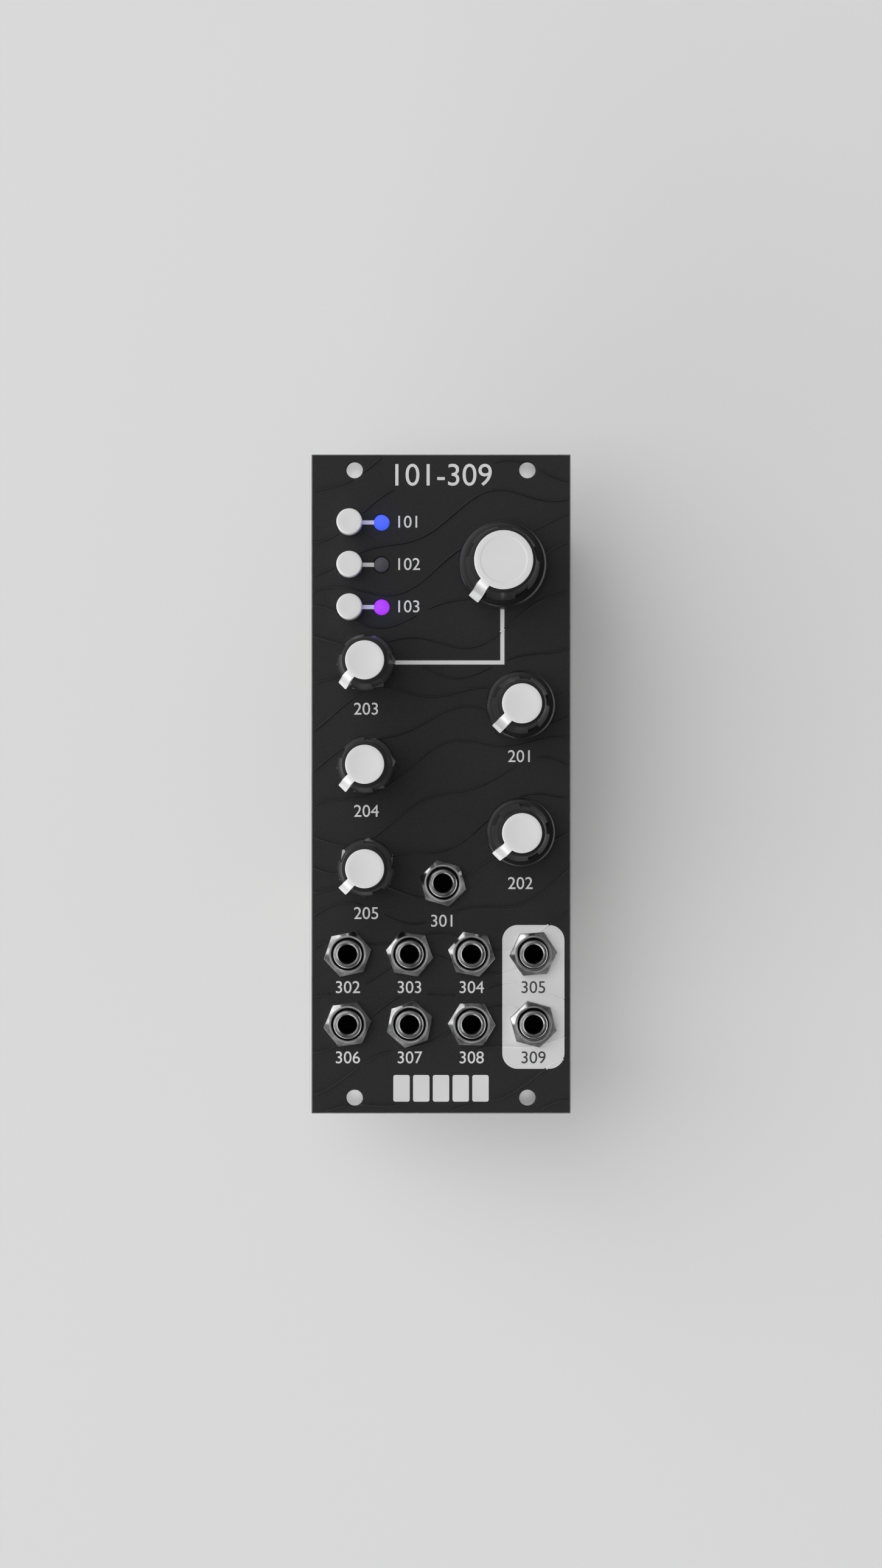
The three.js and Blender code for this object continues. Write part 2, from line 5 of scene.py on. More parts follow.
import bmesh
import bpy
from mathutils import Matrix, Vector


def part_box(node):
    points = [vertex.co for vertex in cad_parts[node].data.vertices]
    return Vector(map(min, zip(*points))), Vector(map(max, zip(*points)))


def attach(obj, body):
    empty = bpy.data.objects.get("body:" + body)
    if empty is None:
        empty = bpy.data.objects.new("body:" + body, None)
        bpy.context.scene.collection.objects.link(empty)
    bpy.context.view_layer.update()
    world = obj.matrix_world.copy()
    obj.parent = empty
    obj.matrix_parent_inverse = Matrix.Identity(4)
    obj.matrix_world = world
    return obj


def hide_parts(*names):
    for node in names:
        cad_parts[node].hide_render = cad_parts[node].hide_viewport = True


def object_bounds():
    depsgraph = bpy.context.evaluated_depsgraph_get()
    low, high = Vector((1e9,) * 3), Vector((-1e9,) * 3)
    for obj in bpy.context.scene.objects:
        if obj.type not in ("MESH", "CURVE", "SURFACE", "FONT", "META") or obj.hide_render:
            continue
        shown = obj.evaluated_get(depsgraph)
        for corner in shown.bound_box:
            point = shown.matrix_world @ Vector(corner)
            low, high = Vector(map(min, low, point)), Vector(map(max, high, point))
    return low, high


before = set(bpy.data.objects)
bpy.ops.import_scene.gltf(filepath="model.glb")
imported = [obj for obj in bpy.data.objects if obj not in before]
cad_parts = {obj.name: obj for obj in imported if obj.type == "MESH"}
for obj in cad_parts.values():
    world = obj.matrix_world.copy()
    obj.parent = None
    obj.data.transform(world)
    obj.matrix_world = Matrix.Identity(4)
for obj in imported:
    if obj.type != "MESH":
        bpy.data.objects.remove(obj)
cad_low, cad_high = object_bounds()

MM = 0.001
SIDES = (-1, 1)


def in_mm(**lengths):
    """A group of named lengths, given in millimetres."""
    return SimpleNamespace(**{name: length * MM for name, length in lengths.items()})


def mm(*lengths):
    """A vector, given in millimetres."""
    return Vector(lengths) * MM


def pairs_mm(*pairs):
    """Pairs of lengths, given in millimetres."""
    return [(first * MM, second * MM) for first, second in pairs]


def numbered(name, count):
    return [f"{name}_{number}" for number in range(1, count + 1)]


# Nodes, and the places that they give

ROOT = "module"
KNOBS = ["large_knob", *numbered("medium_knob", 2), *numbered("small_knob", 3)]
POTENTIOMETERS = [name + "_potentiometer" for name in KNOBS]
BUTTONS = numbered("button", 3)
LAMPS = numbered("lamp", 3)
JACKS = numbered("jack", 9)
OUTPUT_JACKS = ["jack_5", "jack_9"]
SPACERS = numbered("board_spacer", 3)

panel_low, panel_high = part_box("front_panel")
PANEL_FRONT = panel_high.z
PANEL_BACK = panel_low.z
CONTROL_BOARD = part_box("control_board")
MAIN_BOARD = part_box("main_board")


def middle_of(node):
    low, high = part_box(node)
    return (low + high) / 2


def on_panel(node):
    middle = middle_of(node)
    return Vector((middle.x, middle.y, PANEL_FRONT))


def top_of(node):
    low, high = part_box(node)
    return Vector(((low.x + high.x) / 2, (low.y + high.y) / 2, high.z))


def knob_axis(name):
    return on_panel(name + "_potentiometer")


# Edges, and the angle above which an edge of a piece looks sharp

FINE_EDGE = 0.08 * MM
SOFT_EDGE = 0.25 * MM
SURFACE_GAP = 0.05 * MM
MERGE_DISTANCE = 0.0005 * MM
SHARP = SimpleNamespace(usual=32, sheet=12, nut=20, grip=40)

# Steps round a circle, and the height of the grain in a surface

STEPS = SimpleNamespace(nut=144, disc=120, fine=96, hole=72, bush=64, small=48, board_hole=40, tiny=16)
GRAIN = in_mm(rough=0.03, worn=0.02, soft=0.01, plated=0.008, moulded=0.006, smooth=0.005, fine=0.004)


# Materials

NOISE_ROUGHNESS = 0.55
SHEEN_ROUGHNESS = 0.35
LENS_GRAIN = 9000
LENS_ROUGHNESS = 0.62
LENS_SHADE_SHARE = 0.8
GLOW_SHADE_SHARE = 0.84
BOARD_MASK = (0.005, 0.006, 0.007)
BOARD_TRACK = (0.016, 0.018, 0.020)
BOARD_CLOUD = 300
BOARD_ROUGHNESS = (0.28, 0.42)
TRACK_PATCHES = 85
TRACK_SHARE = 0.028
TRACK_EDGE_SHARES = (0.52, 0.64)
TRACK_HEIGHT = 0.04 * MM


def new_material(name):
    material = bpy.data.materials.new(name)
    material.use_nodes = True
    return material, material.node_tree, material.node_tree.nodes["Principled BSDF"]


def fill_inputs(tree, node, inputs):
    """Links each input to the socket given for it, or sets it to the value given."""
    for name, value in inputs.items():
        if isinstance(value, bpy.types.NodeSocket):
            tree.links.new(value, node.inputs[name])
        else:
            node.inputs[name].default_value = value


def add_node(tree, kind, inputs=None):
    node = tree.nodes.new("ShaderNode" + kind)
    fill_inputs(tree, node, inputs or {})
    return node


def add_noise(tree, scale, detail=3, stretch=(1, 1, 1)):
    place = add_node(tree, "TexCoord").outputs["Object"]
    mapping = add_node(tree, "Mapping", {"Vector": place, "Scale": stretch})
    noise = add_node(tree, "TexNoise", {
        "Vector": mapping.outputs["Vector"],
        "Scale": scale,
        "Detail": detail,
        "Roughness": NOISE_ROUGHNESS,
    })
    return noise.outputs["Fac"]


def rgba(color):
    """A colour, or the grey that one number stands for."""
    return (*color, 1) if isinstance(color, tuple) else (color, color, color, 1)


def add_ramp(tree, factor, low, high, start=0.3, end=0.7):
    node = add_node(tree, "ValToRGB", {"Fac": factor})
    first, last = node.color_ramp.elements
    first.position, last.position = start, end
    first.color, last.color = rgba(low), rgba(high)
    return node.outputs["Color"]


def add_range(tree, factor, low, high):
    return add_node(tree, "MapRange", {"Value": factor, "To Min": low, "To Max": high}).outputs["Result"]


def add_bump(tree, factor, height):
    return add_node(tree, "Bump", {"Strength": 1, "Distance": height, "Height": factor}).outputs["Normal"]


def shaded(color, share):
    return tuple(value * share for value in color)


def grained_material(name, low, high, rough, grain, height, cloud=90, specular=0.5, sheen=0.0):
    """A coat with cloudy colour, a fine grain in its bump and a roughness that varies with the grain."""
    material, tree, shader = new_material(name)
    fine = add_noise(tree, grain, detail=2)
    fill_inputs(tree, shader, {
        "Base Color": add_ramp(tree, add_noise(tree, cloud), low, high),
        "Roughness": add_range(tree, fine, *rough),
        "Specular IOR Level": specular,
        "Sheen Weight": sheen,
        "Sheen Roughness": SHEEN_ROUGHNESS,
        "Normal": add_bump(tree, fine, height),
    })
    return material


def metal_material(name, low, high, rough, stretch, height=GRAIN.fine, patches=420, marks=900):
    """Plated metal with faint tool marks along one way and patches of duller plating."""
    material, tree, shader = new_material(name)
    dull = add_noise(tree, patches, detail=4)
    fill_inputs(tree, shader, {
        "Base Color": add_ramp(tree, dull, low, high),
        "Roughness": add_range(tree, dull, *rough),
        "Metallic": 1,
        "Normal": add_bump(tree, add_noise(tree, marks, stretch=stretch), height),
    })
    return material


def lamp_material(name, color, glow=None):
    """A diffused lens of milky plastic, which glows where a glow colour is given."""
    material, tree, shader = new_material(name)
    fine = add_noise(tree, LENS_GRAIN, detail=2)
    fill_inputs(tree, shader, {
        "Base Color": add_ramp(tree, fine, shaded(color, LENS_SHADE_SHARE), color),
        "Roughness": LENS_ROUGHNESS,
        "Normal": add_bump(tree, fine, GRAIN.worn),
    })
    if glow:
        light = add_ramp(tree, fine, shaded(glow, GLOW_SHADE_SHARE), glow)
        fill_inputs(tree, shader, {"Emission Strength": 1, "Emission Color": light})
    return material


def board_material(name):
    """Black solder mask over raised tracks, which run side by side round square patches of the board."""
    material, tree, shader = new_material(name)
    place = add_node(tree, "TexCoord").outputs["Object"]
    patches = add_node(tree, "TexVoronoi", {"Vector": place, "Scale": TRACK_PATCHES})
    patches.distance = "CHEBYCHEV"
    tracks = add_node(tree, "Math", {0: patches.outputs["Distance"], 1: TRACK_SHARE})
    tracks.operation = "PINGPONG"
    spread = add_node(tree, "MapRange", {"Value": tracks.outputs["Value"], "From Max": TRACK_SHARE})
    height = add_ramp(tree, spread.outputs["Result"], 0, 1, *TRACK_EDGE_SHARES)
    fill_inputs(tree, shader, {
        "Base Color": add_ramp(tree, height, BOARD_MASK, BOARD_TRACK, 0, 1),
        "Roughness": add_range(tree, add_noise(tree, BOARD_CLOUD), *BOARD_ROUGHNESS),
        "Normal": add_bump(tree, height, TRACK_HEIGHT),
    })
    return material


PANEL = grained_material(
    "panel_coating", 0.0125, 0.0195, (0.5, 0.62), 5200, GRAIN.rough, cloud=3600, specular=0.2)
# The rounded edge round the panel: a lighter coat that stands partly for the bare edge and partly for a
# painted highlight along the bevel.
PANEL_EDGE_BARE_AND_HIGHLIT = grained_material(
    "bare_panel_edge_and_painted_highlight", 0.045, 0.085, (0.4, 0.5), 5200, GRAIN.worn, cloud=900)
WHITE_PRINT = grained_material("white_print", 0.56, 0.6, (0.45, 0.55), 7000, GRAIN.fine)
DARK_PRINT = grained_material("dark_print", 0.03, 0.04, (0.5, 0.6), 7000, GRAIN.fine)
SOFT_BLACK = grained_material(
    "soft_touch_black", 0.0055, 0.0075, (0.31, 0.38), 5200, GRAIN.soft, specular=0.36, sheen=0.04)
WHITE_PLASTIC = grained_material("white_plastic", 0.59, 0.62, (0.4, 0.5), 4200, GRAIN.smooth)
# The pointers are the discs' own white plastic painted lighter: painted light that makes their steep faces
# look as bright as the flat discs.
POINTER_PLASTIC_PAINTED_LIGHT = grained_material("pointer_plastic_painted_light", 0.68, 0.71, (0.4, 0.5), 4200, GRAIN.smooth)
BLACK_PLASTIC = grained_material("black_plastic", 0.011, 0.016, (0.35, 0.48), 4000, GRAIN.moulded)
# The lining in a socket's bore: partly the dark plastic inside, partly painted shade, near black and
# without shine, for the depth of the bore.
BORE_LINING_PAINTED_SHADE = grained_material(
    "bore_lining_painted_shade", 0.001, 0.0014, (0.6, 0.7), 4000, GRAIN.fine, specular=0)
CHIP_PLASTIC = grained_material("chip_plastic", 0.02, 0.028, (0.5, 0.65), 6000, GRAIN.moulded)
NYLON = grained_material(
    "natural_nylon", (0.7, 0.67, 0.58), (0.76, 0.73, 0.65), (0.4, 0.5), 2500, GRAIN.soft)
CERAMIC = grained_material(
    "ceramic", (0.28, 0.2, 0.12), (0.36, 0.27, 0.17), (0.5, 0.6), 5000, GRAIN.smooth)
TANTALUM = grained_material(
    "tantalum_case", (0.62, 0.36, 0.06), (0.7, 0.42, 0.09), (0.4, 0.5), 3000, GRAIN.moulded)
NICKEL = metal_material("nickel", 0.16, 0.33, (0.26, 0.42), (1, 1, 0.3), GRAIN.plated)
NUT_FACE = metal_material("nut_face", 0.26, 0.62, (0.26, 0.46), (1, 0.25, 1), GRAIN.soft, 260)
NUT_CROWN = metal_material("nut_crown", 0.14, 0.66, (0.08, 0.22), (1, 0.25, 1), GRAIN.plated, 300)
# The potentiometer nuts are the same plated metal painted darker: painted shade for where they sit under
# the knobs.
BUSH_NUT_PAINTED_SHADE = metal_material("bush_nut_metal_painted_shade", 0.14, 0.34, (0.3, 0.45), (1, 0.25, 1))
STEEL = metal_material("plated_steel", 0.34, 0.46, (0.3, 0.45), (1, 6, 1))
SHAFT_METAL = metal_material("turned_aluminium", 0.55, 0.66, (0.25, 0.35), (1, 1, 14))
TIN = metal_material("solder_tin", 0.6, 0.72, (0.22, 0.36), (1, 1, 1))
GOLD = metal_material("gold_plate", (0.72, 0.5, 0.19), (0.82, 0.6, 0.27), (0.2, 0.3), (1, 1, 4))
BOARD = board_material("solder_mask")
BLUE_LAMP = lamp_material("blue_lamp", (0.02, 0.03, 0.24), (0.06, 0.12, 0.74))
UNLIT_LAMP = lamp_material("unlit_lamp", (0.065, 0.065, 0.07))
VIOLET_LAMP = lamp_material("violet_lamp", (0.10, 0.02, 0.24), (0.37, 0.035, 0.72))


# Outlines

def full_turn(count):
    return [2 * math.pi * k / count for k in range(count)]


def arc(x, y, size, start, end, steps=4):
    """Points of an arc of that size round a middle point, from start to end degrees."""
    turns = [math.radians(start + (end - start) * k / steps) for k in range(steps + 1)]
    return [(x + size * math.cos(turn), y + size * math.sin(turn)) for turn in turns]


def circle(centre, radius, count=STEPS.hole):
    return arc(centre.x, centre.y, radius, 0, 360, count)[:-1]


def rectangle(x0, y0, x1, y1):
    return [(x0, y0), (x1, y0), (x1, y1), (x0, y1)]


def rounded_rectangle(low, high, radius, steps=4):
    left, right = low.x + radius, high.x - radius
    foot, top = low.y + radius, high.y - radius
    points = []
    for quarter, (x, y) in enumerate([(right, top), (left, top), (left, foot), (right, foot)]):
        points += arc(x, y, radius, 90 * quarter, 90 * quarter + 90, steps)
    return points


# Meshes

def join_rings(bm, near, far):
    """Faces between two rings of points, either of which may be a single point."""
    for k in range(max(len(near), len(far))):
        corners = []
        for ring, spot in ((near, k), (near, k + 1), (far, k + 1), (far, k)):
            corner = ring[spot % len(ring)]
            if corner not in corners:
                corners.append(corner)
        bm.faces.new(corners)


def add_turned(bm, profile, centre, angles=STEPS.fine, closed=False, turn=0.0):
    """Rings round an upright axis. A radius or a height is a number or a function of the angle."""
    if isinstance(angles, int):
        angles = full_turn(angles)
    rings = []
    for radius, height in profile:
        ring = []
        for angle in angles[:1] if radius == 0 else angles:
            r = radius(angle) if callable(radius) else radius
            h = height(angle) if callable(height) else height
            around = angle + turn
            spot = (centre.x + r * math.cos(around), centre.y + r * math.sin(around), centre.z + h)
            ring.append(bm.verts.new(spot))
        rings.append(ring)
    for near, far in zip(rings, rings[1:]):
        join_rings(bm, near, far)
    if closed:
        join_rings(bm, rings[-1], rings[0])
    return bm


def add_loft(bm, rows):
    """A solid through rows of points, with a flat face on its first and last row."""
    rings = [[bm.verts.new(spot) for spot in row] for row in rows]
    for near, far in zip(rings, rings[1:]):
        join_rings(bm, near, far)
    bm.faces.new(rings[0])
    bm.faces.new(rings[-1])
    return [vert for ring in rings for vert in ring]


def round_edges(bm, verts, size, segments=2):
    edges = list(dict.fromkeys(edge for vert in verts for edge in vert.link_edges))
    bmesh.ops.bevel(
        bm, geom=edges, offset=size, segments=segments, affect="EDGES", profile=0.5, clamp_overlap=True)


def add_slab(bm, middle, size, edge=0.0):
    verts = bmesh.ops.create_cube(bm, size=1)["verts"]
    for vert in verts:
        vert.co = Vector(middle) + Vector(share * length for share, length in zip(vert.co, size))
    if edge:
        round_edges(bm, verts, edge)
    return bm


def add_box(bm, low, high, edge=0.0):
    low, high = Vector(low), Vector(high)
    return add_slab(bm, (low + high) / 2, high - low, edge)


def add_post(bm, x, y, foot, top, width, edge):
    """A square post or pin that stands at a place, from foot to top."""
    return add_slab(bm, (x, y, (foot + top) / 2), (width, width, top - foot), edge)


def add_object(name, data):
    made = bpy.data.objects.new(name, data)
    bpy.context.scene.collection.objects.link(made)
    return made


def mesh_of_curve(curve):
    """The merged mesh that a curve or a text makes."""
    maker = add_object("maker", curve)
    graph = bpy.context.evaluated_depsgraph_get()
    mesh = bpy.data.meshes.new_from_object(maker.evaluated_get(graph))
    bpy.data.objects.remove(maker)
    bm = bmesh.new()
    bm.from_mesh(mesh)
    bpy.data.meshes.remove(mesh)
    bmesh.ops.remove_doubles(bm, verts=bm.verts, dist=MERGE_DISTANCE)
    return bm


def sheet_shape(loops, low, high, edge=0.0):
    """A flat plate with the first loop as its outline and the others as holes."""
    curve = bpy.data.curves.new("sheet", "CURVE")
    curve.dimensions = "2D"
    curve.fill_mode = "BOTH"
    curve.extrude = (high - low) / 2 - edge
    curve.bevel_depth = edge
    curve.bevel_resolution = 1
    curve.offset = -edge
    for loop in loops:
        spline = curve.splines.new("POLY")
        spline.points.add(len(loop) - 1)
        for point, (x, y) in zip(spline.points, loop):
            point.co = (x, y, 0, 1)
        spline.use_cyclic_u = True
    bm = mesh_of_curve(curve)
    bmesh.ops.translate(bm, verts=bm.verts, vec=(0, 0, (low + high) / 2))
    return bm


def mesh_of(bm, name, sharp=SHARP.usual):
    bmesh.ops.recalc_face_normals(bm, faces=bm.faces)
    for face in bm.faces:
        face.smooth = True
    for edge in bm.edges:
        edge.smooth = edge.calc_face_angle(math.pi) < math.radians(sharp)
    mesh = bpy.data.meshes.new(name)
    bm.to_mesh(mesh)
    bm.free()
    return mesh


def add_piece(bm, name, material, slot, body=ROOT, replaced=None, sharp=SHARP.usual):
    """A visible piece that moves with a body and may stand for one of the frame's nodes."""
    piece = add_object(name, mesh_of(bm, name, sharp))
    piece.data.materials.append(material)
    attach(piece, body)
    if replaced:
        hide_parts(replaced)
    return piece


def add_turned_piece(name, profile, centre, material, slot, steps=STEPS.fine, closed=False, **more):
    bm = add_turned(bmesh.new(), profile, centre, steps, closed)
    return add_piece(bm, name, material, slot, **more)


def add_second_finish(piece, material, belongs):
    """Gives another material to the faces of a piece that belong to it."""
    piece.data.materials.append(material)
    for face in piece.data.polygons:
        face.material_index = 1 if belongs(face) else 0


# Front panel

PANEL_EDGE = 0.2 * MM
FINE_TILT = 0.1
HOLE = in_mm(mount=1.6, inset_x=8.39, inset_y=3, button=2.62, lamp=1.58, bush_gap=0.2, sleeve_gap=0.1)


def panel_holes():
    """The middle and the radius of every hole in the panel."""
    x, y = panel_high.x - HOLE.inset_x, panel_high.y - HOLE.inset_y
    holes = [(Vector((*corner, 0)), HOLE.mount) for corner in rectangle(-x, -y, x, y)]
    holes += [(knob_axis(name), BUSH.radius + HOLE.bush_gap) for name in KNOBS]
    holes += [(on_panel(name), SLEEVE.thread + HOLE.sleeve_gap) for name in JACKS]
    holes += [(on_panel(name + "_cap"), HOLE.button) for name in BUTTONS]
    holes += [(on_panel(name), HOLE.lamp) for name in LAMPS]
    return holes


def is_worn(face):
    """Whether a face is on the rounded edge round the panel, whose lighter coat is partly the bare edge and
    partly a painted highlight.
    """
    border = min(panel_high.x - abs(face.center.x), panel_high.y - abs(face.center.y))
    return border < PANEL_EDGE and abs(face.normal.z) > FINE_TILT


def make_panel():
    outline = rectangle(panel_low.x, panel_low.y, panel_high.x, panel_high.y)
    loops = [outline] + [circle(spot, radius) for spot, radius in panel_holes()]
    bm = sheet_shape(loops, PANEL_BACK, PANEL_FRONT, PANEL_EDGE)
    plate = add_piece(bm, "panel_plate", PANEL, "panel", replaced="front_panel", sharp=SHARP.sheet)
    # The lighter edge is partly bare edge and partly a painted highlight.
    add_second_finish(plate, PANEL_EDGE_BARE_AND_HIGHLIT, is_worn)


# Print on the panel

PRINT_THICKNESS = 0.02 * MM
PRINT_TOP = PANEL_FRONT + PRINT_THICKNESS
LINE = in_mm(width=0.8, start=5.4, end=8.7, link_start=2.1)
FIELD = in_mm(margin=6.06, top=5.6, foot=8.74, corner=3)
FIELD_CORNER_STEPS = 14
DIGIT = in_mm(size=3.35, width=1.85, boldness=0.005)
DIGIT_RISE_SHARE = 0.72
NUMBERS = [*range(101, 104), *range(201, 206), *range(301, 310)]
LABEL = in_mm(lamp_reach=2.6, small_drop=9.15, medium_drop=10.1, single_drop=7.5, jack_drop=6.65)
TITLE_TEXT = f"{NUMBERS[0]}-{NUMBERS[-1]}"
TITLE = in_mm(size=6.1, drop=4.2)
BLOCK = in_mm(width=3.2, height=5.2, pitch=3.85, rise=4.9, corner=0.4)
BLOCK_COUNT = 5

small_axis = knob_axis("small_knob_1")
large_axis = knob_axis("large_knob")


def knob_line():
    """The bent line from the first small knob to the large knob."""
    half = LINE.width / 2
    start = small_axis.x + LINE.start
    top = large_axis.y - LINE.end
    x, y = large_axis.x, small_axis.y
    return [(start, y - half), (x + half, y - half), (x + half, top),
            (x - half, top), (x - half, y + half), (start, y + half)]


def link_line(button, lamp):
    half = LINE.width / 2
    start, end = on_panel(button + "_cap"), on_panel(lamp)
    return rectangle(start.x + LINE.link_start, start.y - half, end.x, start.y + half)


def field_corners():
    upper, lower = [on_panel(name) for name in OUTPUT_JACKS]
    low = Vector((upper.x - FIELD.margin, lower.y - FIELD.foot, 0))
    high = Vector((upper.x + FIELD.margin, upper.y + FIELD.top, 0))
    return low, high


FIELD_LOW, FIELD_HIGH = field_corners()


def make_flat_print(name, loops):
    bm = sheet_shape(loops, PANEL_FRONT - PRINT_THICKNESS, PRINT_TOP)
    add_piece(bm, name, WHITE_PRINT, "white_plastic", sharp=SHARP.sheet)


def make_label(name, text, spot, material, align="CENTER", size=DIGIT.size):
    letters = bpy.data.curves.new(name, "FONT")
    letters.body = text
    letters.size = size
    letters.align_x = align
    letters.align_y = "CENTER"
    letters.extrude = PRINT_THICKNESS
    letters.offset = DIGIT.boldness
    bm = mesh_of_curve(letters)
    bmesh.ops.translate(bm, verts=bm.verts, vec=(spot.x, spot.y, PRINT_TOP))
    add_piece(bm, name, material, "white_plastic")


def label_places():
    """The text, place, ink and alignment of each number beside a lamp, a knob or a socket."""
    places = [(on_panel(name) + Vector((LABEL.lamp_reach, 0, 0)), WHITE_PRINT, "LEFT") for name in LAMPS]
    for name in KNOBS[1:]:
        drop = LABEL.medium_drop if name.startswith("medium") else LABEL.small_drop
        places.append((knob_axis(name) - Vector((0, drop, 0)), WHITE_PRINT, "CENTER"))
    for name in JACKS:
        drop = LABEL.single_drop if name == JACKS[0] else LABEL.jack_drop
        ink = DARK_PRINT if name in OUTPUT_JACKS else WHITE_PRINT
        places.append((on_panel(name) - Vector((0, drop, 0)), ink, "CENTER"))
    return [(str(number), *place) for number, place in zip(NUMBERS, places)]


def make_field():
    holes = [circle(on_panel(name), SLEEVE.thread + HOLE.sleeve_gap) for name in OUTPUT_JACKS]
    outline = rounded_rectangle(FIELD_LOW, FIELD_HIGH, FIELD.corner, FIELD_CORNER_STEPS)
    make_flat_print("output_field", [outline] + holes)


def make_blocks():
    """A row of plain blocks at the foot of the panel."""
    for block in range(BLOCK_COUNT):
        left = (block - BLOCK_COUNT / 2) * BLOCK.pitch + (BLOCK.pitch - BLOCK.width) / 2
        low = Vector((left, panel_low.y + BLOCK.rise - BLOCK.height / 2))
        high = low + Vector((BLOCK.width, BLOCK.height))
        make_flat_print(f"foot_block_{block + 1}", [rounded_rectangle(low, high, BLOCK.corner)])


def make_print():
    make_flat_print("knob_line", [knob_line()])
    for number, (button, lamp) in enumerate(zip(BUTTONS, LAMPS), 1):
        make_flat_print(f"lamp_line_{number}", [link_line(button, lamp)])
    make_field()
    for text, spot, ink, align in label_places():
        make_label(f"number_{text}", text, spot, ink, align)
    title_spot = Vector((0, panel_high.y - TITLE.drop, 0))
    make_label("number_range", TITLE_TEXT, title_spot, WHITE_PRINT, size=TITLE.size)
    make_blocks()


# Relief waves: level lines of a height that rises up the panel with two gentle swells

RIDGE = in_mm(width=0.46, height=0.27, white_height=0.13, step=0.4, room=0.35, spacing=6.7, margin=0.4)
RIDGE_SHARES = [(-0.5, 0), (-0.3, 0.7), (0, 1), (0.3, 0.7), (0.5, 0)]
RIDGE_SHORTEST = 8
RIDGE_TAPER = 1
EDGE_HALVINGS = 7
LEVEL_REACH_SHARE = 2.6
WAVE_TILT = 0.22
WAVE_SWELLS = [(3.4 * MM, 62 * MM, 0.6, 1.2), (1.5 * MM, 24 * MM, 2.1, -0.7)]


def wave_height(x, level):
    y = level + WAVE_TILT * x
    for size, length, phase, lean in WAVE_SWELLS:
        y += size * math.sin(2 * math.pi * (x + lean * level) / length + phase)
    return y


def keep_out_zones():
    """The round places that the ridges keep clear of, each by its middle and radius."""
    zones = [(spot, radius + SURFACE_GAP) for spot, radius in panel_holes()]
    zones += [(on_panel(name), JACK_NUT.flats / 2) for name in JACKS]
    zones += [(knob_axis(name), POT_NUT.flats / 2) for name in KNOBS]
    return zones


def box_round(x, y, half_x, half_y):
    return x - half_x, y - half_y, x + half_x, y + half_y


def keep_out_boxes():
    """The areas of print that the ridges keep clear of, each by its lowest and highest corner."""
    boxes = []
    tall = DIGIT.size * DIGIT_RISE_SHARE / 2 + RIDGE.room
    for text, spot, _, align in label_places():
        wide = DIGIT.width * len(text) / 2 + RIDGE.room
        shift = wide if align == "LEFT" else 0
        boxes.append(box_round(spot.x + shift, spot.y, wide, tall))
    wide = DIGIT.width * TITLE.size / DIGIT.size * len(TITLE_TEXT) / 2
    tall = TITLE.size * DIGIT_RISE_SHARE / 2 + RIDGE.room
    boxes.append(box_round(0, panel_high.y - TITLE.drop, wide, tall))
    wide, tall = BLOCK_COUNT * BLOCK.pitch / 2, BLOCK.height / 2 + RIDGE.room
    boxes.append(box_round(0, panel_low.y + BLOCK.rise, wide, tall))
    half = (LINE.width + RIDGE.width) / 2
    boxes.append((small_axis.x + LINE.start, small_axis.y - half, large_axis.x + half, small_axis.y + half))
    for button, lamp in zip(BUTTONS, LAMPS):
        start, end = on_panel(button + "_cap"), on_panel(lamp)
        boxes.append((start.x, start.y - half, end.x, start.y + half))
    return boxes


def is_white(x, y):
    """Whether a place on the panel is on the white field or the upright part of the knob line."""
    middle, reach = (FIELD_LOW + FIELD_HIGH) / 2, (FIELD_HIGH - FIELD_LOW) / 2
    past_x = max(0, abs(x - middle.x) - reach.x + FIELD.corner)
    past_y = max(0, abs(y - middle.y) - reach.y + FIELD.corner)
    if math.hypot(past_x, past_y) < FIELD.corner:
        return True
    half = LINE.width / 2
    return abs(x - large_axis.x) < half and small_axis.y - half < y < large_axis.y - LINE.end


def split_by_color(run):
    """The stretches of a run that are all on white or all on black, cut where the colour changes."""
    parts, part = [], [run[0]]
    white = is_white(*run[0])
    for spot in run[1:]:
        if is_white(*spot) != white:
            near, far = part[-1], spot
            for _ in range(EDGE_HALVINGS):
                middle = ((near[0] + far[0]) / 2, (near[1] + far[1]) / 2)
                if is_white(*middle) == white:
                    near = middle
                else:
                    far = middle
            parts.append((white, part + [far]))
            part, white = [far], not white
        part.append(spot)
    return parts + [(white, part)]


def ridge_runs(level, zones, boxes):
    """The stretches of one level line that cross nothing else on the panel."""
    runs, run = [], []
    steps = int((panel_high.x - panel_low.x - 2 * RIDGE.margin) / RIDGE.step)
    for step in range(steps + 1):
        x = panel_low.x + RIDGE.margin + step * RIDGE.step
        y = wave_height(x, level)
        free = abs(y) < panel_high.y - RIDGE.margin
        free = free and all(math.hypot(x - c.x, y - c.y) > radius for c, radius in zones)
        free = free and not any(x0 < x < x1 and y0 < y < y1 for x0, y0, x1, y1 in boxes)
        if free:
            run.append((x, y))
        if run and (not free or step == steps):
            runs.append(run)
            run = []
    return [run for run in runs if len(run) > RIDGE_SHORTEST]


def add_ridge(bm, run, base, tall):
    """A low rounded ridge along a run of points, which tapers off at both ends."""
    rows = []
    last = len(run) - 1
    for k, (x, y) in enumerate(run):
        along = Vector(run[min(k + 1, last)]) - Vector(run[max(k - 1, 0)])
        across = Vector((-along.y, along.x, 0)).normalized() * RIDGE.width
        taper = (min(k, last - k, RIDGE_TAPER) + 1) / (RIDGE_TAPER + 1)
        up = Vector((0, 0, tall * taper))
        rows.append([Vector((x, y, base)) + across * side + up * rise for side, rise in RIDGE_SHARES])
    add_loft(bm, rows)


